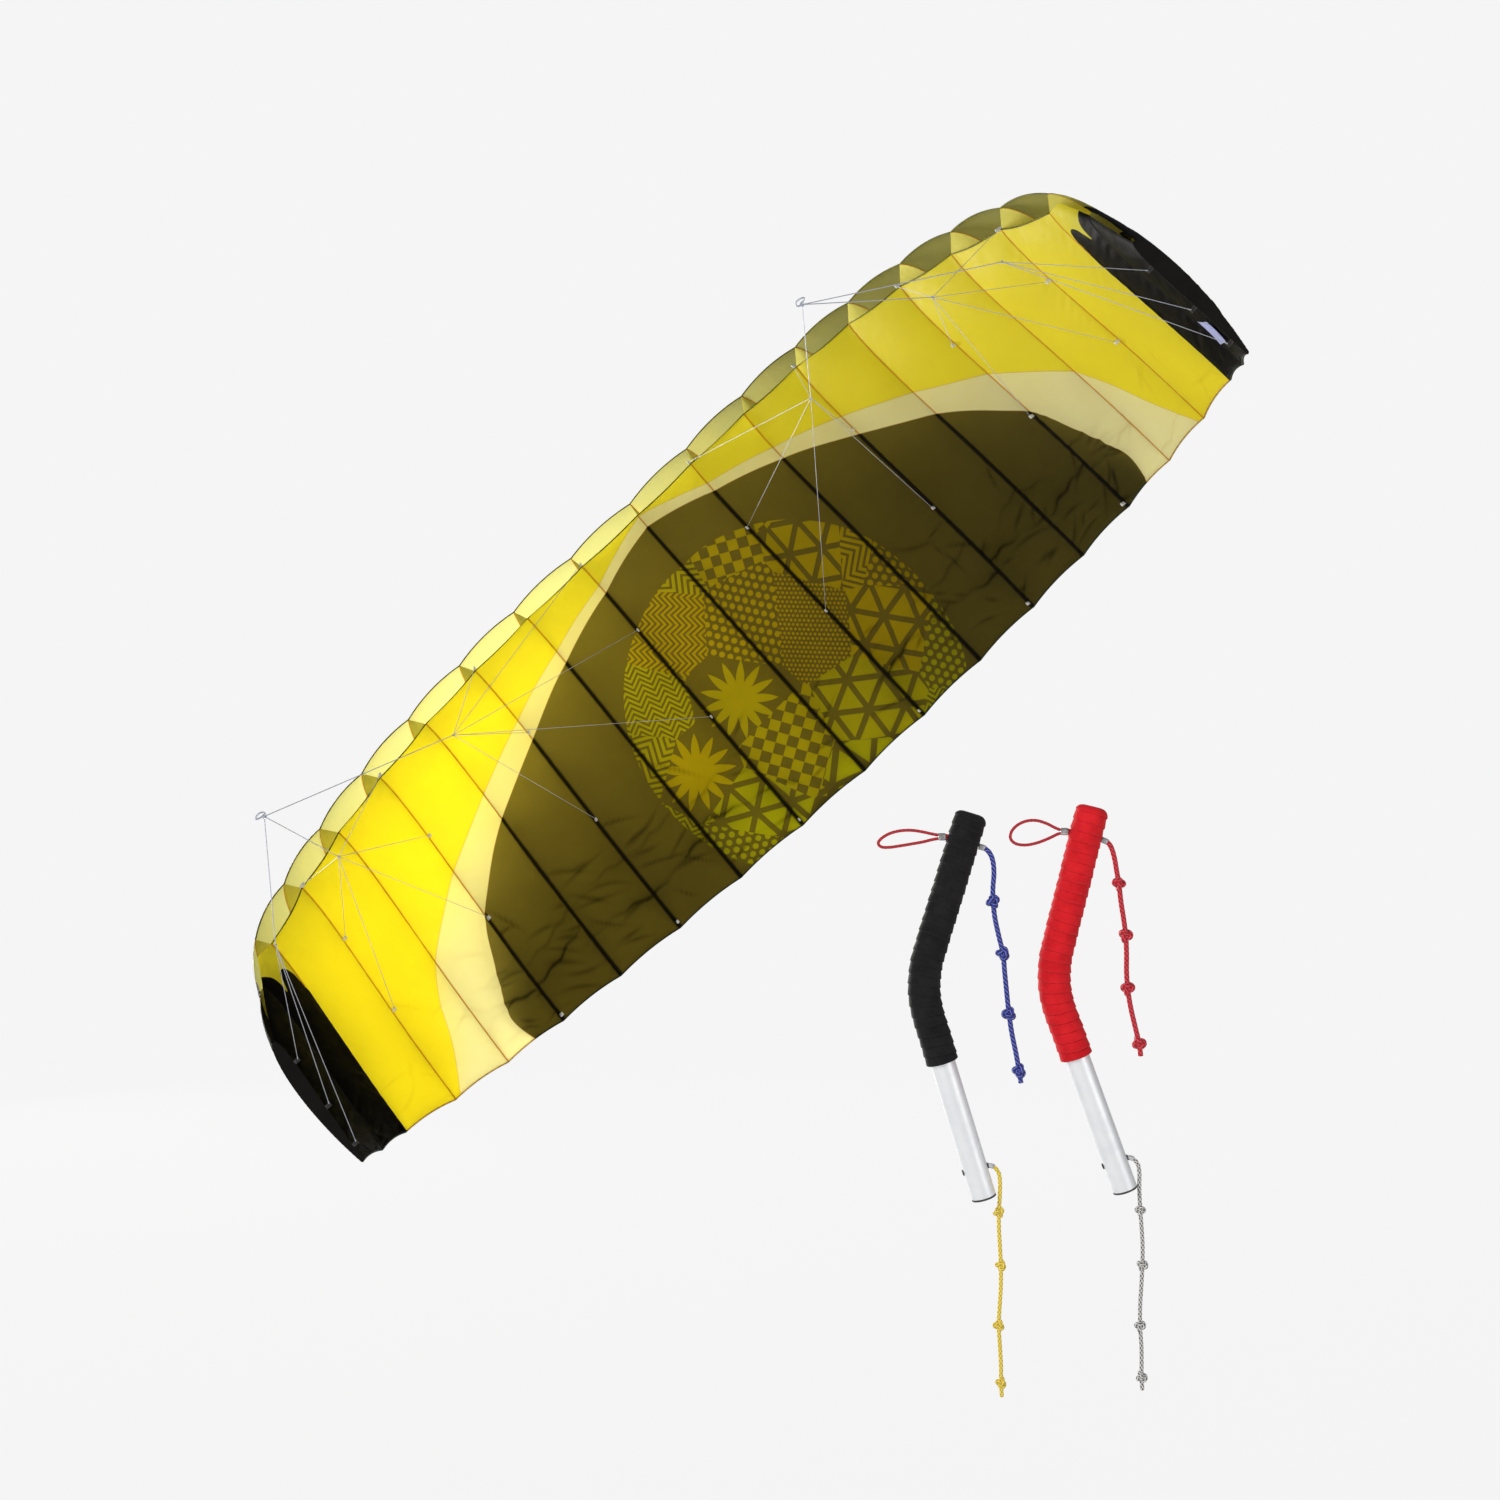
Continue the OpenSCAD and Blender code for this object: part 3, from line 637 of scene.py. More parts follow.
def foam_material(name, light, dark, dust):
    """Wrapped foam: fine closed cells with painted shade in their pits, painted shade in the wraps' grooves,
    and rubbed on their edges.
    """
    g = Graph(name)
    place = g.object_place()
    pores = g.node("ShaderNodeTexVoronoi", {"Vector": place, "Scale": 1500.0}).outputs["Distance"]
    patches = g.noise(place, 55.0, 5.0, 0.6)
    groove_depth_and_shade = g.attribute("groove_depth_and_shade")
    color = g.mix(g.ramp(patches, 0.3, 0.75), light, dark)
    # Painted shade in the grooves between the wraps
    color = g.mix(g.times(groove_depth_and_shade, 0.42), color, tuple(0.4 * v for v in dark[:3]) + (1.0,))
    rub = g.times(g.ramp(patches, 0.48, 0.7), g.attribute("rub"))
    color = g.mix(g.times(rub, 0.16), color, dust)
    # Painted shade in the pits of the foam's cells
    color = g.mix(g.ramp(pores, 0.25, 0.0, 0.0, 0.35), color, dark)
    normal = g.bump(pores, 0.00025, 0.55)
    normal = g.bump(g.noise(place, 260.0, 4.0), 0.0008, 0.5, normal)
    rough = g.ramp(patches, 0.3, 0.7, 0.78, 0.92)
    face = g.principled(
        Base_Color=color, Roughness=rough, Normal=normal, Sheen_Weight=0.04, Specular_IOR_Level=0.2
    )
    return g.done(face)


def aluminium_material(name):
    """Satin anodised tube with faint drawing lines, scuffs and dull spots."""
    g = Graph(name)
    place = g.object_place()
    drawn = g.noise(g.vector("MULTIPLY", place, (1400.0, 1400.0, 16.0)), 1.0, 2.0)
    cloud = g.noise(place, 38.0, 4.0, 0.6)
    scratch = g.noise(g.vector("MULTIPLY", place, (260.0, 260.0, 1500.0)), 1.0, 3.0, 0.7)
    color = g.mix(g.ramp(cloud, 0.3, 0.75), linear(236, 237, 239), linear(228, 229, 232))
    color = g.mix(g.ramp(scratch, 0.68, 0.76, 0.0, 0.3), color, linear(170, 170, 172))
    rough = g.plus(g.ramp(cloud, 0.3, 0.7, 0.44, 0.50), g.ramp(drawn, 0.2, 0.8, 0.0, 0.06))
    normal = g.bump(drawn, 0.00004, 0.5)
    normal = g.bump(scratch, 0.00006, 0.4, normal)
    return g.done(g.principled(Base_Color=color, Roughness=rough, Normal=normal, Metallic=0.7))


def steel_material(name):
    """Brushed steel with darker worn patches."""
    g = Graph(name)
    place = g.object_place()
    brushed = g.noise(g.vector("MULTIPLY", place, (300.0, 2400.0, 2400.0)), 1.0, 3.0)
    wear = g.noise(place, 320.0, 4.0, 0.6)
    color = g.mix(g.ramp(wear, 0.35, 0.75), linear(206, 204, 202), linear(150, 148, 146))
    normal = g.bump(brushed, 0.00005, 0.6)
    rough = g.ramp(brushed, 0.2, 0.8, 0.24, 0.42)
    return g.done(g.principled(Base_Color=color, Roughness=rough, Normal=normal, Metallic=1.0))


def plastic_material(name, light, dark):
    """Moulded plastic with a fine spark texture and paler worn patches."""
    g = Graph(name)
    place = g.object_place()
    grain = g.noise(place, 1600.0, 3.0)
    wear = g.noise(place, 120.0, 5.0, 0.6)
    color = g.mix(g.ramp(wear, 0.35, 0.75), dark, light)
    normal = g.bump(grain, 0.00012, 0.6)
    rough = g.ramp(wear, 0.3, 0.7, 0.42, 0.6)
    return g.done(g.principled(Base_Color=color, Roughness=rough, Normal=normal))


def label_material(name):
    """Blank satin label with fine warp lines."""
    g = Graph(name)
    place = g.object_place()
    warp = g.node("ShaderNodeTexWave", {"Vector": place, "Scale": 420.0, "Distortion": 0.2}).outputs["Fac"]
    stain = g.noise(place, 40.0, 4.0)
    color = g.mix(g.ramp(stain, 0.3, 0.75), linear(128, 138, 204), linear(96, 104, 176))
    color = g.mix(g.times(warp, 0.2), color, linear(186, 190, 226))
    rough, normal = g.ramp(warp, 0.0, 1.0, 0.35, 0.5), g.bump(warp, 0.0002, 0.5)
    return g.done(g.principled(Base_Color=color, Roughness=rough, Normal=normal, Sheen_Weight=0.2))


CLOTH = cloth_material("canopy_cloth")
RIB_CLOTH = plain_cloth("rib_cloth", linear(206, 200, 110), linear(176, 170, 84), 0.65)
LIP_CLOTH = plain_cloth("intake_hem", linear(140, 138, 44), linear(96, 100, 32), 0.45)
TIP_CLOTH = plain_cloth("tip_wall", linear(20, 16, 12), linear(11, 9, 8), 0.12)
THREAD = thread_material("seam_thread", linear(244, 180, 40), linear(16, 13, 7))
HEM_TAPE = thread_material("hem_tape", linear(196, 164, 58), linear(34, 58, 34))
BRIDLE = braid_material("bridle_line", linear(226, 230, 238), linear(150, 158, 178))
WEBBING = webbing_material("white_webbing", linear(242, 242, 240), linear(190, 190, 190))
DARK_WEBBING = webbing_material("dark_webbing", linear(40, 38, 36), linear(20, 19, 18))
LABEL = label_material("label_cloth")
ALUMINIUM = aluminium_material("aluminium_tube")
STEEL = steel_material("steel_crimp")
PLASTIC = plastic_material("dark_plastic", linear(62, 62, 64), linear(34, 34, 36))
SLEEVE = plastic_material("cord_sleeve", linear(206, 206, 208), linear(150, 150, 154))
FOAM = {
    "left": foam_material("left_foam", linear(21, 21, 21), linear(13, 13, 13), linear(60, 59, 58)),
    "right": foam_material("right_foam", linear(208, 22, 32), linear(184, 14, 24), linear(222, 86, 90)),
}
CORDS = {
    "blue": braid_material("blue_cord", linear(32, 44, 150), linear(16, 22, 92), linear(120, 134, 206)),
    "red": braid_material("red_cord", linear(204, 12, 34), linear(132, 6, 18), linear(222, 70, 88)),
    "yellow": braid_material("yellow_cord", linear(244, 220, 92), linear(196, 162, 44)),
    "grey": braid_material("grey_cord", linear(198, 196, 192), linear(92, 90, 88), linear(236, 236, 234)),
    "strap": braid_material("strap_cord", linear(196, 18, 38), linear(124, 8, 20)),
}

# ---- camera ------------------------------------------------------------------

IMAGE = 1500
FOCAL = 1864
camera_data = bpy.data.cameras.new("camera")
camera_data.sensor_width = 36
camera_data.lens = 36 * FOCAL / IMAGE
camera_data.clip_start, camera_data.clip_end = 0.05, 100
camera = bpy.data.objects.new("camera", camera_data)
camera.location = (0.391, -3.222, -0.320)
camera.rotation_euler = (math.pi / 2, 0, 0)
bpy.context.scene.collection.objects.link(camera)
bpy.context.scene.camera = camera

# ---- handles -----------------------------------------------------------------

HANDLE_AT = {"left": np.array([0.560, -1.360, -0.555]), "right": np.array([0.690, -1.360, -0.551])}
LEAN = {"left": 0.0, "right": math.radians(-3)}
ARM_ANGLE = math.radians(17)
TUBE_R, GRIP_R = 0.0125, 0.0165
UPPER_ARM, LOWER_ARM, GRIP_LOWER = 0.180, 0.220, 0.080
BEND_R = 0.110
STRAP_DOWN, PIN_UP = 0.030, 0.028
CRIMP_L, STRAP_GAP = 0.007, 0.002
CORD_D, STRAP_D = {"power": 0.005, "brake": 0.004}, 0.003
KNOT_RATIO = 3.2
WRAP, WRAP_T = 0.0101, 0.0011
CORD_STEP, SLEEVE_L = 0.0006, 0.007

# Routes of the leaders and straps, in millimetres from where they start, as part.scad has them
BLUE_ROUTE = [
    [0, 0, 0], [6, 0, -2], [11, 0, -7], [14, 0, -15], [15, 0, -27], [14, 0, -41], [14, -1, -55],
    [16, -1, -72], [20, 0, -90], [24, 0, -107], [26, 1, -127], [28, 1, -147], [30, 0, -167],
    [33, 0, -187], [37, -1, -207], [40, -1, -224], [42, 0, -236],
]  # fmt: skip
RED_ROUTE = [
    [0, 0, 0], [6, 0, -3], [10, 0, -9], [13, 0, -20], [15, 0, -32], [17, -1, -44],
    [19, -1, -62], [22, 0, -80], [24, 0, -96], [25, 1, -114], [25, 1, -132], [26, 0, -149],
    [29, 0, -168], [33, -1, -186], [37, -1, -203], [39, 0, -216],
]  # fmt: skip
YELLOW_ROUTE = [
    [0, 0, 0], [5, 0, -1], [10, 0, -6], [12, 0, -14], [12, 0, -30], [11, 0, -47],
    [11, -1, -64], [12, -1, -82], [13, 0, -100], [13, 0, -120], [12, 1, -140], [11, 1, -160],
    [12, 0, -180], [13, -1, -200], [13, -1, -217], [14, 0, -231],
]  # fmt: skip
GREY_ROUTE = [
    [0, 0, 0], [5, 0, -1], [10, 0, -6], [12, 0, -15], [12, 0, -33], [13, 0, -53],
    [14, -1, -70], [15, -1, -88], [15, 0, -108], [14, 0, -128], [13, 1, -149], [13, 1, -169],
    [14, 0, -188], [14, -1, -204], [14, -1, -219], [15, 0, -232],
]  # fmt: skip
STRAP_ROUTE = {
    "left": [
        [0, 0, 1.8], [-7, 0, 3], [-16, 0, 5], [-27, 0, 6.5], [-38, 0, 6], [-48, 0, 3.5], [-56, 0, -1],
        [-60, 0, -6], [-57, 0, -10], [-49, 0, -10.5], [-38, 0, -9], [-26, 0, -7], [-15, 0, -5],
        [-7, 0, -3], [0, 0, -1.8],
    ],
    "right": [
        [0, 0, 1.8], [-6, 0, 4], [-14, 0, 8], [-24, 0, 11], [-34, 0, 10.5], [-43, 0, 6.5], [-49, 0, 0],
        [-50, 0, -7], [-45, 0, -12], [-36, 0, -13.5], [-26, 0, -12], [-17, 0, -9], [-9, 0, -5.5],
        [-4, 0, -3], [0, 0, -1.8],
    ],
}  # fmt: skip
LEADERS = {
    ("left", "power"): ("blue", BLUE_ROUTE, (6, 9, 12, 15)),
    ("right", "power"): ("red", RED_ROUTE, (5, 8, 11, 14)),
    ("left", "brake"): ("yellow", YELLOW_ROUTE, (5, 8, 11, 14)),
    ("right", "brake"): ("grey", GREY_ROUTE, (5, 8, 11, 14)),
}


def turned(v, angle):
    """A vector turned about Y."""
    c, s = math.cos(angle), math.sin(angle)
    return np.array([v[0] * c + v[2] * s, v[1], v[2] * c - v[0] * s])


def upper_exit(hand, side):
    """Where a cord leaves the grip's upper hole; side is the sign of X in the handle's own axes."""
    return HANDLE_AT[hand] + turned([side * GRIP_R, 0, UPPER_ARM - STRAP_DOWN], ARM_ANGLE + LEAN[hand])


def lower_exit(hand):
    """Where the brake leader leaves the tube's lower cross hole."""
    down = math.pi - ARM_ANGLE + LEAN[hand]
    return HANDLE_AT[hand] + turned([-TUBE_R - 0.0005, 0, LOWER_ARM - PIN_UP], down)


def knot_line(size, tube_r, turn, steps=72):
    """A pulled-tight overhand knot: a trefoil flattened until its strands touch."""
    t = np.linspace(0, 2 * np.pi, steps, endpoint=False)
    spread = (size / 2 - tube_r) / 3
    x = spread * (np.sin(t) + 2 * np.sin(2 * t))
    z = spread * (np.cos(t) - 2 * np.cos(2 * t)) * 0.92
    y = -np.sin(3 * t) * tube_r * 1.05
    line = np.stack([x, y, z], axis=1)
    return line @ turn_matrix(*turn).T


def leader(hand, which):
    """Knotted leader of a handle, with its knots and the sleeve where it leaves the handle."""
    color, route, knots = LEADERS[hand, which]
    start = upper_exit(hand, 1) if which == "power" else lower_exit(hand)
    points = start + np.array(route) * MM
    line = even_line(smooth_line(points, 12), CORD_STEP)
    body = hand + "_handle"
    radius = CORD_D[which] / 2
    cord = Parts()
    cord.tube(line, radius, 16, relief=braid_relief)
    piece = cord.make(f"{hand}_{which}_cord", CORDS[color])
    stand_in(piece, body, f"{hand}_{which}_leader")
    rng = np.random.default_rng(len(hand) * 7 + len(which))
    tied = Parts()
    for i in knots:
        turn = (rng.uniform(-0.5, 0.5), rng.uniform(0, 2 * np.pi), rng.uniform(-0.5, 0.5))
        knot = knot_line(2 * KNOT_RATIO * radius, radius, turn)
        tied.tube(points[i] + knot, radius * 0.98, 14, True, braid_relief)
    knot_piece = tied.make(f"{hand}_{which}_tied_knots", CORDS[color])
    stand_in(knot_piece, body, f"{hand}_{which}_knots")
    collar = Parts()
    reach = line[: int(SLEEVE_L / CORD_STEP)]
    run = run_of(reach)
    collar.tube(reach, radius + 0.0005 + 0.00012 * np.cos(run * 2 * np.pi / 0.0011), 20)
    collar_piece = collar.make(f"{hand}_{which}_sleeve", SLEEVE)
    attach(collar_piece, body)


def strap(hand):
    """Strap loop: out of the grip's hole, through the crimp, round, and back the same way."""
    hole = upper_exit(hand, -1)
    start = hole - [CRIMP_L + STRAP_GAP, 0, 0]
    loop = start + np.array(STRAP_ROUTE[hand]) * MM
    inward = turned([0.003, 0, 0], ARM_ANGLE + LEAN[hand])
    ends = [hole + inward + [0, 0, 0.0010], start + [CRIMP_L, 0, 0.0016]]
    back = [start + [CRIMP_L, 0, -0.0016], hole + inward + [0, 0, -0.0026]]
    line = even_line(smooth_line(np.concatenate([ends, loop, back]), 10), CORD_STEP)
    cord = Parts()
    cord.tube(line, STRAP_D / 2, 16, relief=braid_relief)
    piece = cord.make(f"{hand}_strap_loop", CORDS["strap"])
    stand_in(piece, hand + "_strap_set", hand + "_strap")


def handle_line(step):
    """Points along the middle of the tube, from the top of the grip to its lower edge."""
    straight = BEND_R * math.tan(ARM_ANGLE)
    upper = [[0, 0, z] for z in np.linspace(UPPER_ARM, straight, 60)]
    points = [turned(p, ARM_ANGLE) for p in upper]
    middle = np.array([BEND_R / math.cos(ARM_ANGLE), 0, 0])
    for a in np.linspace(ARM_ANGLE, -ARM_ANGLE, 40)[1:]:
        points.append(middle + turned([-BEND_R, 0, 0], a))
    points += [turned([0, 0, z], math.pi - ARM_ANGLE) for z in np.linspace(straight, GRIP_LOWER, 40)[1:]]
    return even_line(np.array(points), step)


def grip(hand):
    """Foam tape wound round the tube: each turn laps the one below, and the top is closed and rounded."""
    line = handle_line(CORD_STEP)
    placed = np.array([HANDLE_AT[hand] + turned(p, LEAN[hand]) for p in line])
    sides = 72
    one, two = frames_along(placed)
    run = run_of(placed)[:, None]
    around = np.arange(sides)[None, :] * 2 * np.pi / sides
    rng = np.random.default_rng(11 if hand == "left" else 12)
    uneven = 0.06 * np.sin(around + rng.uniform(0, 6))
    uneven = uneven + 0.05 * np.sin(2 * around + 9 * run + rng.uniform(0, 6))
    turn = np.mod(run / WRAP + around / (2 * np.pi) + uneven, 1.0)
    lap = WRAP_T * turn
    edge = np.minimum(turn, 1 - turn) * WRAP
    # Groove between the wraps: it sinks the surface, and the foam's colour gets painted shade there
    groove_depth_and_shade = np.exp(-((edge / 0.00035) ** 2))
    dents = 0.00018 * np.sin(3 * around + 140 * run) * np.sin(61 * run + 2 * around)
    size = GRIP_R - 0.0008 + lap - 0.0004 * groove_depth_and_shade + dents
    rounding = 0.0075
    cap = np.sqrt(np.clip(1 - (1 - np.clip(run / rounding, 0, 1)) ** 2, 0, 1))
    size = size - rounding * (1 - cap)
    tuck_l = 0.0012
    tuck = np.clip((run - run[-1, 0] + tuck_l) / tuck_l, 0, 1)
    size = size - tuck_l * tuck**2
    points = placed[:, None] + one[:, None] * (np.cos(around) * size)[..., None]
    points = points + two[:, None] * (np.sin(around) * size)[..., None]
    points = points.reshape(-1, 3)
    faces = [tuple(f) for f in grid_faces(len(placed), sides, closed=True)]
    start = len(points)
    rim = placed[-1] + (points[-sides:] - placed[-1]) * (TUBE_R + 0.0001) / (GRIP_R - tuck_l)
    points = np.concatenate([points, rim, [placed[0]]])
    base = start - sides
    faces += [(base + i, base + (i + 1) % sides, start + (i + 1) % sides, start + i) for i in range(sides)]
    faces += [((i + 1) % sides, i, len(points) - 1) for i in range(sides)]
    piece = make_piece(f"{hand}_foam_grip", points, faces, FOAM[hand])
    tail = np.zeros(sides + 1)
    set_attribute(piece, "groove_depth_and_shade", np.concatenate([groove_depth_and_shade.ravel(), tail]))
    rub = np.exp(-(((1 - turn) * WRAP / 0.0022) ** 2)) * (1 - groove_depth_and_shade)
    set_attribute(piece, "rub", np.concatenate([rub.ravel(), tail]))
    stand_in(piece, hand + "_handle", hand + "_grip")


def dress(node, material):
    """A CAD node that stays gets its finish."""
    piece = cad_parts[node]
    piece.data.materials.clear()
    piece.data.materials.append(material)


for hand, which in LEADERS:
    leader(hand, which)
for hand in SIDES:
    strap(hand)
    grip(hand)
    dress(hand + "_tube", ALUMINIUM)
    dress(hand + "_end_plug", PLASTIC)
    dress(hand + "_bushes", PLASTIC)
    dress(hand + "_strap_crimp", STEEL)

# ---- what is sewn and printed where ------------------------------------------

# Edges of the panels as span position and chord share, the same on both halves
YELLOW_TO_CREAM = [
    (0, 0.07), (1, 0.14), (2, 0.195), (3, 0.26), (4.2, 0.36), (5.2, 0.465), (5.9, 0.58), (6.3, 0.70),
    (6.55, 0.84), (6.9, 1.0),
]  # fmt: skip
CREAM_TO_DARK = [
    (0, 0.11), (1, 0.17), (2.1, 0.245), (3, 0.33), (4.15, 0.45), (4.8, 0.56), (5.12, 0.64), (5.32, 0.73),
    (5.5, 0.82), (5.6, 0.90), (5.5, 1.0),
]  # fmt: skip
# Front edge of the dark tip print, from the seam at rib 8 to the outer edge
TIP_FRONT = [
    (8.0, 0.30), (8.07, 0.22), (8.2, 0.16), (8.35, 0.12), (8.5, 0.11), (8.62, 0.135), (8.71, 0.16),
    (8.70, 0.09), (8.78, 0.035), (8.95, -0.03), (9.4, -0.06), (10.4, -0.06),
]  # fmt: skip


def flat_place(u, c):
    """A place on the cloth laid flat: distance from the centre seam, and distance along the chord."""
    u = np.abs(u)
    across = np.interp(u, np.arange(CELLS + 1), RIB_FLAT) + np.maximum(0, u - CELLS) * TIP_CELL_W
    return np.stack([across, nose_z(u) - c * chord(u)], axis=-1)


def signed_edge(points, edge, closing):
    """Distance from a seam, above zero on the side that the closing points enclose."""
    edge = smooth_line([(u, c, 0) for u, c in edge], 8)[:, :2]
    line = flat_place(edge[:, 0], edge[:, 1])
    away = np.full(len(points), np.inf)
    for a, b in zip(line[:-1], line[1:]):
        d = b - a
        t = np.clip((points - a) @ d / max(d @ d, 1e-12), 0, 1)
        away = np.minimum(away, np.hypot(*(points - a - t[:, None] * d).T))
    ring = np.concatenate([line, flat_place(*np.array(closing, float).T)])
    inside = np.zeros(len(points), bool)
    for a, b in zip(ring, np.roll(ring, -1, 0)):
        crosses = (a[1] > points[:, 1]) != (b[1] > points[:, 1])
        with np.errstate(divide="ignore", invalid="ignore"):
            at = (b[0] - a[0]) * (points[:, 1] - a[1]) / (b[1] - a[1]) + a[0]
        inside ^= crosses & (points[:, 0] < at)
    return np.where(inside, away, -away)


DISC_MIDDLE = flat_place(0.0, DISC_AT)


def paint(piece, u, c, upper, right):
    """Gives each point of a cloth piece the values that its material reads."""
    u, c = np.asarray(u, float).ravel(), np.asarray(c, float).ravel()
    flat = flat_place(u, c)
    inner = [(6.9, 1.4), (0, 1.4)]
    set_attribute(piece, "yellow_edge", signed_edge(flat, YELLOW_TO_CREAM, inner))
    set_attribute(piece, "dark_edge", signed_edge(flat, CREAM_TO_DARK, inner))
    set_attribute(piece, "tip_edge", signed_edge(flat, TIP_FRONT, [(10.3, 1.4), (8.0, 1.4)]))
    set_attribute(piece, "rib_gap", np.abs(flat[:, :1] - RIB_FLAT).min(axis=1))
    set_attribute(piece, "chord_share", c)
    set_attribute(piece, "upper", np.broadcast_to(np.asarray(upper, float).ravel(), u.shape))
    signed = flat * [1 if right else -1, 1]
    zero = np.zeros(len(u))
    set_attribute(piece, "flat", np.column_stack([signed, zero]))
    set_attribute(piece, "disc", np.column_stack([signed - DISC_MIDDLE, zero]))


# ---- canopy ------------------------------------------------------------------

COLUMNS = 28
UPPER_ROWS, LOWER_ROWS, FOLD_ROWS = 96, 150, 5
SCALLOP = 0.007
HEM_LIFT = 0.0007
RIB_INSET, WALL_OUT = 0.0004, 0.0012
SEAM_R, LIP_HEM_R = 0.0013, 0.0019


def cloth_faces(rows, cols, right):
    """Faces of a strip of cloth, turned round on the mirrored half so that they face the same way."""
    faces = grid_faces(rows, cols)
    return faces if right else faces[:, ::-1]


def brake_rib(j):
    """The brake rib beside cell j."""
    return j if j % 2 else j - 1


def chord_stations(first, rows):
    """Chord shares from the front to the trailing edge, closer together at both ends."""
    t = np.linspace(0, 1, rows)
    even = 0.5 - 0.5 * np.cos(np.pi * t)
    return first + (1 - first) * (0.55 * t + 0.45 * even)


def wrinkles(u, c, seed):
    """How far the cloth stands off its smooth shape, in metres, and how much painted shade its creases get.
    """
    rng = np.random.default_rng(seed)
    flat = flat_place(u, c)
    x, y = flat[..., 0], flat[..., 1]
    f = u - np.floor(u.min() + 1e-6)
    gap = np.minimum(f, 1 - f) * WIDTHS[int(u.min() + 1e-6)]
    free = np.clip(gap / 0.02, 0, 1) ** 0.8
    pucker = np.zeros_like(x)
    for _ in range(3):
        pitch, phase = rng.uniform(0.026, 0.05), rng.uniform(0, 6.3, 2)
        slope = rng.uniform(-0.8, 0.8)
        pucker += np.sin(2 * np.pi * (y + slope * gap) / pitch + phase[0]) * np.sin(7 * y + phase[1])
    pucker *= 0.0011 * np.exp(-gap / 0.030)
    drift = sum(
        np.sin(rng.uniform(9, 24) * y + rng.uniform(-14, 14) * x + rng.uniform(0, 6.3)) for _ in range(4)
    )
    total = pucker + 0.0011 * drift
    j = u.mean()
    # Strength of the painted shade that the cloth material lays along each crease
    crease_shade_strength = np.zeros_like(x)
    for _ in range(10 if 1.5 < j < 6.2 else 4):
        at = (rng.uniform(x.min(), x.max()), rng.uniform(0.66, 0.97))
        cy = nose_z(j) - at[1] * chord(j)
        angle, length = rng.normal(0.15, 0.5), rng.uniform(0.02, 0.07)
        width, height = rng.uniform(0.006, 0.012), rng.uniform(0.0012, 0.0038) * rng.choice([-1, 1])
        along = (x - at[0]) * math.cos(angle) + (y - cy) * math.sin(angle)
        across = (y - cy) * math.cos(angle) - (x - at[0]) * math.sin(angle)
        across = across + rng.uniform(-2.5, 2.5) * along**2
        total += height * np.exp(-((across / width) ** 2) - (along / length) ** 2)
        crease_shade_strength += 0.6 * np.exp(-((across / width * 1.8) ** 2) - (along / length) ** 2)
    if 1 < j < 6.5:  # a crease along the span before the trailing edge, and a fainter one in front of it
        for at, height, strength in ((0.86, 0.0045, 0.95), (0.77, -0.003, 0.35)):
            at += rng.uniform(-0.02, 0.02)
            wander = 0.012 * np.sin(rng.uniform(11, 17) * x + rng.uniform(0, 6.3)) + 0.004 * np.sin(70 * x)
            across = y - (nose_z(u) - at * chord(u)) - wander - rng.uniform(-0.18, 0.18) * (x - x.mean())
            total += height * np.exp(-np.abs(across) / 0.010)
            patchy = 0.55 + 0.45 * np.sin(rng.uniform(14, 30) * x + rng.uniform(0, 6.3))
            line = np.exp(-((across / 0.0045) ** 2)) + 0.35 * np.exp(-np.abs(across) / 0.018)
            crease_shade_strength += strength * patchy * line
    quiet = np.clip((1 - c) / 0.015, 0, 1)
    return total * free * quiet, np.clip(crease_shade_strength, 0, 1) * quiet


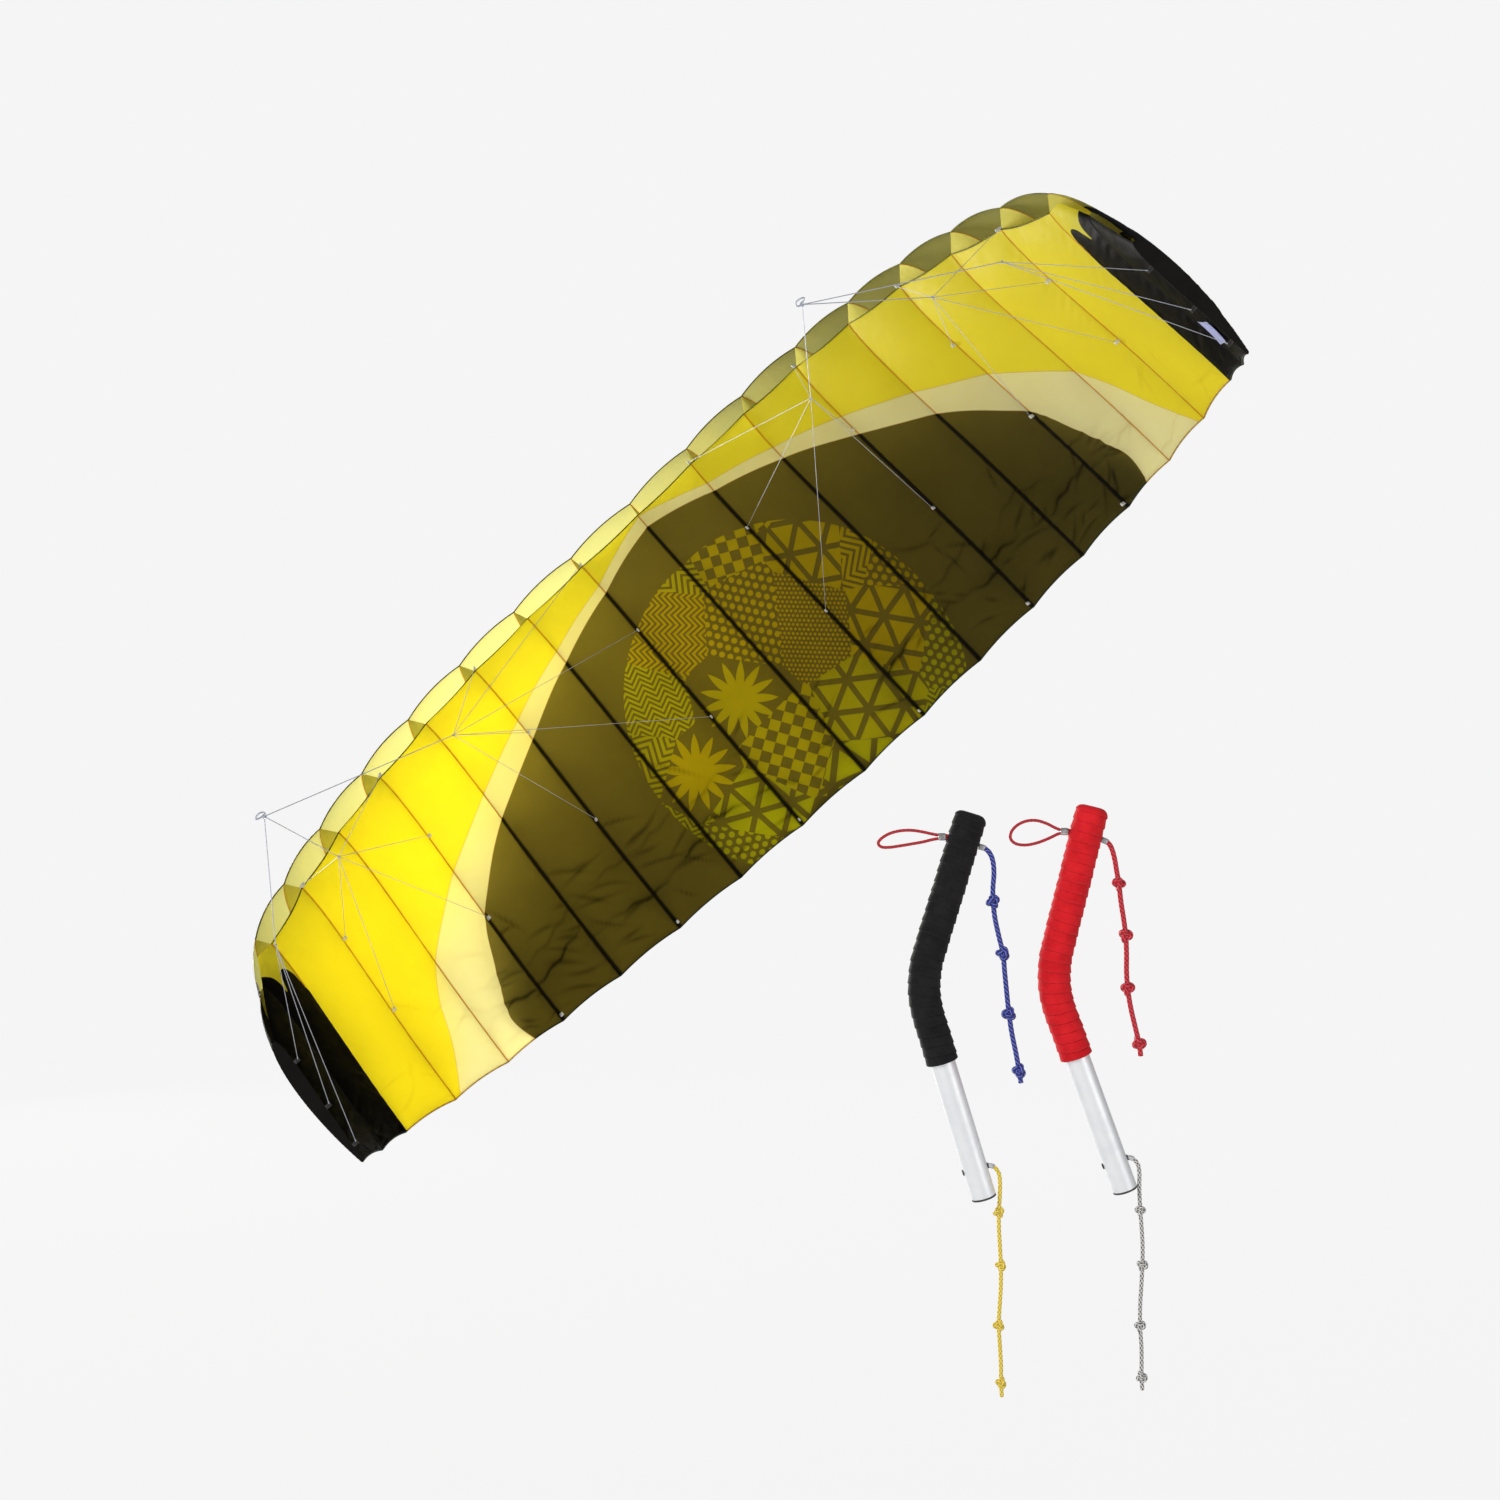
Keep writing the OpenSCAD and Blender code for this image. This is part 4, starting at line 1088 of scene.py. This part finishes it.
def cell(j, right):
    """Cloth of cell j: one strip from the intake's upper lip, round the trailing edge, to its lower lip."""
    span = np.linspace(j - 1, j, COLUMNS + 1)
    upper_c = np.tile(chord_stations(NOSE, UPPER_ROWS)[:, None], (1, len(span)))
    first = lip_edge(span)
    lower_t = 1 - np.linspace(0, 1, LOWER_ROWS)[:, None] ** 1.6
    lower_c = first[None, :] + (1 - first[None, :]) * lower_t
    fold = [math.radians(a) for a in np.linspace(90, -90, FOLD_ROWS + 2)[1:-1]]
    u = np.tile(span, (UPPER_ROWS + LOWER_ROWS + FOLD_ROWS, 1))
    seed = 100 * j + (1 if right else 2)
    upper_lift, upper_crease_shade = wrinkles(u[:UPPER_ROWS], upper_c, seed)
    lower_lift, lower_crease_shade = wrinkles(u[:LOWER_ROWS], lower_c, seed + 50)
    upper = wing_point(u[:UPPER_ROWS], upper_c, 1, upper_lift)
    lower = wing_point(u[:LOWER_ROWS], lower_c, -1, lower_lift)
    middle = (upper[-1] + lower[0]) / 2
    arm = (upper[-1] - lower[0]) / 2
    edge = [middle + arm * math.sin(a) + np.array([0, 0, -TRAILING_HALF_T * math.cos(a)]) for a in fold]
    scallop = np.concatenate([upper, edge, lower])
    c = np.concatenate([upper_c, np.ones((FOLD_ROWS, len(span))), lower_c])
    scallop[..., 2] += SCALLOP * puff(u) * np.clip((c - 0.93) / 0.07, 0, 1) ** 2
    points = flying(scallop, right)
    side = np.repeat([1, 0, 0], [UPPER_ROWS, FOLD_ROWS, LOWER_ROWS])[:, None] + 0 * u
    faces = cloth_faces(len(u), len(span), right)
    piece = make_piece(f"cell_{SIDES[right]}_{j:02d}", points.reshape(-1, 3), faces, CLOTH)
    paint(piece, u, c, side, right)
    # Painted shade along the creases, for the cloth material
    crease_shade_strength = np.concatenate([upper_crease_shade, np.zeros((FOLD_ROWS, len(span))), lower_crease_shade])
    set_attribute(piece, "crease_shade", crease_shade_strength.ravel())
    place_on_wing(piece, j)
    # Tape bound over the trailing edge
    rows = scallop[UPPER_ROWS - 1 : UPPER_ROWS + FOLD_ROWS + 1]
    out = rows - rows.mean(axis=0)
    rows = rows + HEM_LIFT * out / np.maximum(np.linalg.norm(out, axis=-1, keepdims=True), 1e-6)
    faces = cloth_faces(len(rows), len(span), right)
    hem = make_piece(f"hem_{SIDES[right]}_{j:02d}", flying(rows, right).reshape(-1, 3), faces, HEM_TAPE)
    paint(hem, np.tile(span, len(rows)), np.ones(rows[..., 0].size), 0.0, right)
    place_on_wing(hem, j)
    return piece


def place_on_wing(piece, j):
    """Cells beside a brake rib stay in the model's frame, their transform baked into their points; the others
    ride on the wing.
    """
    if j > BRAKE_CELLS:
        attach(piece, "wing")
        return
    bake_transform(piece)


def bend_with_rib(piece, k):
    """What is sewn along a brake rib stays in the model's frame, its transform baked into its points; the
    rest rides on the wing.
    """
    if k in BRAKE_RIBS:
        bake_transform(piece)
    else:
        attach(piece, "wing")


def rib_sheet(k, right):
    """Profile rib with its cross-ports, or the tip wall, cut to the section that the cloth is sewn to."""
    u = float(k)
    wall = k == CELLS
    inset, ports, out = (0.0, (), WALL_OUT) if wall else (RIB_INSET, PORTS, 0.0)
    upper_c, lower_c = chord_stations(NOSE, 70), chord_stations(float(intake_edge(u)), 64)[::-1]
    outline = [(c, section_y(u, c, 1) - inset) for c in upper_c]
    outline += [(c, section_y(u, c, -1) + inset) for c in lower_c]
    loops = [outline]
    for at, share in ports:
        reach = share * chord(u) * (1 - TIP_THINNING * (u / CELLS) ** 3) * 2 * half_thickness(at)
        turns = np.linspace(0, 2 * np.pi, 40, endpoint=False)
        middle = section_y(u, at, 0)
        loops.append([(at + reach * math.cos(a) / chord(u), middle + reach * math.sin(a)) for a in turns])
    flat = [[Vector((c * chord(u), h, 0)) for c, h in loop] for loop in loops]
    faces = tessellate_polygon(flat)
    c, h = np.array([p for loop in loops for p in loop]).T
    a = arc_angle(u)
    points = np.stack(
        [RIB_X[k] + math.sin(a) * h + math.cos(a) * out, RIB_Y[k] + math.cos(a) * h - math.sin(a) * out,
         nose_z(u) - c * chord(u)], axis=1,
    )  # fmt: skip
    side = SIDES[right] if k else "centre"
    if wall:
        name, material, slot, node = f"tip_wall_{side}", TIP_CLOTH, "black_cloth", f"tip_panel_{side}"
    else:
        name, material, slot = f"rib_{side}_{k:02d}", RIB_CLOTH, "rib_cloth"
        node = f"ribs_{side}" if k else "centre_rib"
    piece = make_piece(name, flying(points, right), faces, material, smooth=False)
    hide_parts(node)
    bend_with_rib(piece, k)


def rib_seam(k, right):
    """Raised sewn seam over a rib, on both surfaces, from the intake round to the upper lip."""
    u = float(k)
    seam = Parts()
    places = []
    for side, first in ((-1, float(intake_edge(u))), (1, NOSE)):
        c = chord_stations(first, 90)
        line = cloth_point(u, c, side, right, 0.0003)
        seam.tube(line, SEAM_R, 8, relief=lambda run, around, size: 0.0002 * np.sin(run * 2 * np.pi / 0.012))
        places.append(np.repeat(c, 8))
    piece = seam.make(f"seam_{SIDES[right] if k else 'centre'}_{k:02d}", THREAD)
    c = np.concatenate(places)
    paint(piece, np.full(len(c), u), c, 0.0, right)
    bend_with_rib(piece, k)


def intake_hems(right):
    """Rolled hems along both lips of the intakes."""
    hems = Parts()
    for j in range(1, INTAKE_CELLS + 1):
        u = np.linspace(j - 1, j, 33)
        for lip, side in ((lip_edge(u), -1), (NOSE, 1)):
            hems.tube(cloth_point(u, lip, side, right), LIP_HEM_R, 8)
    piece = hems.make(f"intake_hems_{SIDES[right]}", LIP_CLOTH)
    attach(piece, "wing")


for right in (False, True):
    side = SIDES[right]
    for j in range(1, CELLS + 1):
        piece = cell(j, right)
        if j <= BRAKE_CELLS:
            panel = f"brake_panel_{side}_{BRAKE_RIBS[brake_rib(j)]}"
            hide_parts(f"upper_skin_{side}", f"lower_skin_{side}", panel)
        else:
            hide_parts(f"upper_tip_{side}", f"lower_tip_{side}")
    for k in range(0 if right else 1, CELLS + 1):
        rib_sheet(k, right)
        rib_seam(k, right)
    intake_hems(right)


def care_label():
    """Blank label sewn on the right tip, its free end lifting a little."""
    across, along = np.meshgrid(np.linspace(9.3, 9.8, 11), np.linspace(0.70, 0.86, 13))
    lift = 0.0022 + 0.004 * ((along - 0.70) / 0.16) ** 3
    outer = cloth_point(across, along, -1, True, lift)
    inner = cloth_point(across, along, -1, True, lift - 0.0005)
    rows, cols = across.shape
    points = np.concatenate([outer.reshape(-1, 3), inner.reshape(-1, 3)])
    faces = [tuple(f) for f in grid_faces(rows, cols)]
    faces += [tuple(f) for f in grid_faces(rows, cols, rows * cols)[:, ::-1]]
    border = [(0, c) for c in range(cols - 1)] + [(r, cols - 1) for r in range(rows - 1)]
    border += [(rows - 1, c) for c in range(cols - 1, 0, -1)] + [(r, 0) for r in range(rows - 1, 0, -1)]
    ring = [r * cols + c for r, c in border]
    faces += [(p, q, rows * cols + q, rows * cols + p) for p, q in zip(ring, ring[1:] + ring[:1])]
    stand_in(make_piece("blank_label", points, faces, LABEL), "wing", "care_label")


care_label()

# ---- tabs and bridle ---------------------------------------------------------

TAB_L, TAB_W, TAB_T = 0.016, 0.009, 0.0007
MAIN_D, FAN_D = 0.0018, 0.0014
TOW_LOOP_R = 0.014


def tab_frame(k, c, right):
    """Root of a tab, the way it points, and the way along the chord."""
    root = cloth_point(float(k), c, -1, right)
    a = arc_angle(float(k))
    down = flying(np.array([-math.sin(a), -math.cos(a), 0]) + TOW_MID, right)
    rear = flying(np.array([0, 0, -1.0]) + TOW_MID, right)
    return root, down, rear


def add_tab(parts, k, c, right):
    """Loop of flat tape, sewn in at its root."""
    root, down, rear = tab_frame(k, c, right)
    across = np.cross(down, rear)
    t = np.linspace(0, np.pi, 15)
    half = 0.0024
    turn = [(-half * math.cos(a), TAB_L - half - 0.001 + half * math.sin(a)) for a in t]
    path = [(-0.0006, -0.003), (-0.0009, 0.002), (-0.0018, 0.007)] + turn
    path += [(0.0018, 0.007), (0.0009, 0.002), (0.0006, -0.003)]
    line = even_line(smooth_line([(x, z, 0) for x, z in path], 4), 0.0008)[:, :2]
    tangent = np.gradient(line, axis=0)
    tangent /= np.linalg.norm(tangent, axis=1)[:, None]
    normal = np.stack([-tangent[:, 1], tangent[:, 0]], axis=1)
    half_t, half_w = TAB_T / 2, TAB_W / 2
    corners = [(-half_t, -half_w), (-half_t, half_w), (half_t, half_w), (half_t, -half_w)]
    points = []
    for (x, z), n in zip(line, normal):
        for s, w in corners:
            px, pz = x + n[0] * s, z + n[1] * s
            points.append(root + across * px + down * pz + rear * w)
    faces = [tuple(f) for f in grid_faces(len(line), 4, closed=True)]
    faces += [(3, 2, 1, 0), tuple((len(line) - 1) * 4 + i for i in range(4))]
    parts.add(points, faces)


def tab_eye(k, c, right):
    """Where a line goes through a tab's loop."""
    root, down, _ = tab_frame(k, c, right)
    return root + down * (TAB_L - TAB_W / 2 - 0.0005)


def bar_tack(parts, k, c, right):
    """The zigzag of thread that holds a tab."""
    root, down, rear = tab_frame(k, c, right)
    across = np.cross(down, rear)
    zig = [
        root + down * 0.0035 + rear * w + across * 0.0016 * (-1) ** i
        for i, w in enumerate(np.linspace(-0.0042, 0.0042, 15))
    ]
    parts.tube(even_line(np.array(zig), 0.0005), 0.0003, 6)


def bridle(right):
    """Tabs, fan lines, main lines and tow loop of one half, and the brake ribs' tabs."""
    side = SIDES[right]
    tabs, tip_tabs, tacks, fans, mains = Parts(), Parts(), Parts(), Parts(), Parts()
    top = flying(np.array(TOW_POINT) + [0, TOW_LOOP_R + 0.001, 0], right)
    for at, ribs, rows in JOINS.values():
        join = flying(at, right)
        for k in ribs:
            for c in rows:
                add_tab(tip_tabs if k == CELLS else tabs, k, c, right)
                bar_tack(tacks, k, c, right)
                eye = tab_eye(k, c, right)
                fans.tube(even_line(np.array([join, eye]), 0.02), FAN_D / 2, 8)
                pull = (join - eye) / np.linalg.norm(join - eye)
                ends = np.array([eye - pull * 0.001, eye + pull * 0.012])
                fans.tube(even_line(ends, 0.001), FAN_D / 2 + 0.0003, 8)
        fans.tube(join + knot_line(0.0075, FAN_D / 2 * 1.1, (0.4, 1.0, 0.2), 48), FAN_D / 2 * 1.1, 8, True)
        mains.tube(even_line(np.array([top, join]), 0.02), MAIN_D / 2, 10)
        whipping = join + (top - join) / np.linalg.norm(top - join) * np.array([[0.004], [0.02]])
        mains.tube(even_line(whipping, 0.001), MAIN_D / 2 + 0.0003, 10)
    main_knot = knot_line(0.0095, MAIN_D / 2 * 1.2, (0.2, 0.6, 0.9), 56)
    mains.tube(top + main_knot, MAIN_D / 2 * 1.2, 10, True)
    for parts, name, material, slot, node in (
        (tabs, "tab_loops", WEBBING, "white_webbing", "bridle_tabs"),
        (tip_tabs, "tip_tab_loops", DARK_WEBBING, "black_cloth", "bridle_tabs"),
        (fans, "fan_lines", BRIDLE, "bridle_line", "bridle_fans"),
        (mains, "main_lines", BRIDLE, "bridle_line", "bridle_mains"),
    ):
        stand_in(parts.make(f"{name}_{side}", material), "wing", f"{node}_{side}")
    tack_piece = tacks.make(f"tab_stitches_{side}", WEBBING)
    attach(tack_piece, "wing")
    # Tow loop: a closed ring of cord with its sewn joint
    turns = np.linspace(0, 2 * np.pi, 120, endpoint=False)
    ring = np.stack([np.cos(turns), np.sin(turns), 0.08 * np.sin(2 * turns)], axis=1) * (TOW_LOOP_R - STRAP_D)
    loop = Parts()
    ring_line = flying(np.array(TOW_POINT) + ring * [0.82, 1.0, 1.0], right)
    loop.tube(ring_line, STRAP_D / 2, 14, True, braid_relief)
    loop.tube(ring_line[22:38], STRAP_D / 2 + 0.0006, 14)
    stand_in(loop.make(f"tow_ring_{side}", BRIDLE), "wing", f"tow_loop_{side}")
    for k, name in BRAKE_RIBS.items():
        brake = Parts()
        add_tab(brake, k, 0.985, right)
        tab = brake.make(f"brake_loop_{side}_{name}", WEBBING)
        stand_in(tab, f"brake_{side}_{name}", f"brake_tab_{side}_{name}")


for right in (False, True):
    bridle(right)

# ---- floor and light ---------------------------------------------------------

PALE = (0.913, 0.913, 0.913, 1.0)
HANDLES_MIDDLE = Vector((0.625, -1.36, -0.56))


def floor():
    """Plain pale floor, far enough down that the kite flies; it fades into the backdrop's tone."""
    turns, rings = 64, (0.01, 1, 2, 3.5, 5, 8, 12, 18)
    centre = np.array([0.3, 1.0, CAD_BOX[0][2] - 0.75])
    angles = np.arange(turns) * 2 * math.pi / turns
    points = [centre + [r * math.cos(a), r * math.sin(a), 0] for r in rings for a in angles]
    g = Graph("floor")
    away = g.node("ShaderNodeVectorMath", {0: g.object_place(), 1: tuple(centre)}, operation="DISTANCE")
    matt = g.node("ShaderNodeBsdfDiffuse", {"Color": (0.7, 0.7, 0.7, 1)})
    glow = g.node("ShaderNodeEmission", {"Color": PALE, "Strength": 1.0})
    share = g.ramp(away.outputs["Value"], 1.5, 7.0, 0.985, 1.0)
    shader = g.node("ShaderNodeMixShader", {0: share, 1: matt.outputs[0], 2: glow.outputs[0]})
    piece = make_piece("floor", points, grid_faces(len(rings), turns, closed=True), g.done(shader.outputs[0]))


def area_light(name, place, at, size, watts, color=(1, 1, 1)):
    data = bpy.data.lights.new(name, "AREA")
    data.shape, data.size, data.energy, data.color = "DISK", size, watts, color
    lamp = bpy.data.objects.new(name, data)
    lamp.location = place
    lamp.rotation_euler = (Vector(at) - Vector(place)).to_track_quat("-Z", "Y").to_euler()
    bpy.context.scene.collection.objects.link(lamp)


def backdrop():
    """The even pale backdrop, which lights the scene less than it shows."""
    world = bpy.data.worlds.new("backdrop")
    bpy.context.scene.world = world
    world.use_nodes = True
    tree = world.node_tree
    tree.nodes.clear()
    seen, light = tree.nodes.new("ShaderNodeBackground"), tree.nodes.new("ShaderNodeBackground")
    seen.inputs[0].default_value, light.inputs[0].default_value = PALE, (1, 1, 1, 1)
    light.inputs[1].default_value = 0.27
    kinds = ("ShaderNodeLightPath", "ShaderNodeMixShader", "ShaderNodeOutputWorld")
    path, mixer, out = (tree.nodes.new(kind) for kind in kinds)
    tree.links.new(path.outputs["Is Camera Ray"], mixer.inputs[0])
    tree.links.new(light.outputs[0], mixer.inputs[1])
    tree.links.new(seen.outputs[0], mixer.inputs[2])
    tree.links.new(mixer.outputs[0], out.inputs["Surface"])


floor()
backdrop()
area_light("back_key", (-3.2, 5.8, -0.5), (-0.3, 1.9, -0.4), 2.8, 720, (1.0, 0.98, 0.94))
area_light("back_fill", (1.2, 6.6, 0.4), (0.3, 1.9, 0.0), 2.8, 190, (1.0, 0.97, 0.9))
area_light("handle_key", (-0.6, -2.7, 0.5), HANDLES_MIDDLE, 1.0, 30)
area_light("handle_fill", (1.9, -2.6, -0.3), HANDLES_MIDDLE, 0.9, 7)
bpy.context.scene.view_settings.view_transform = "Standard"
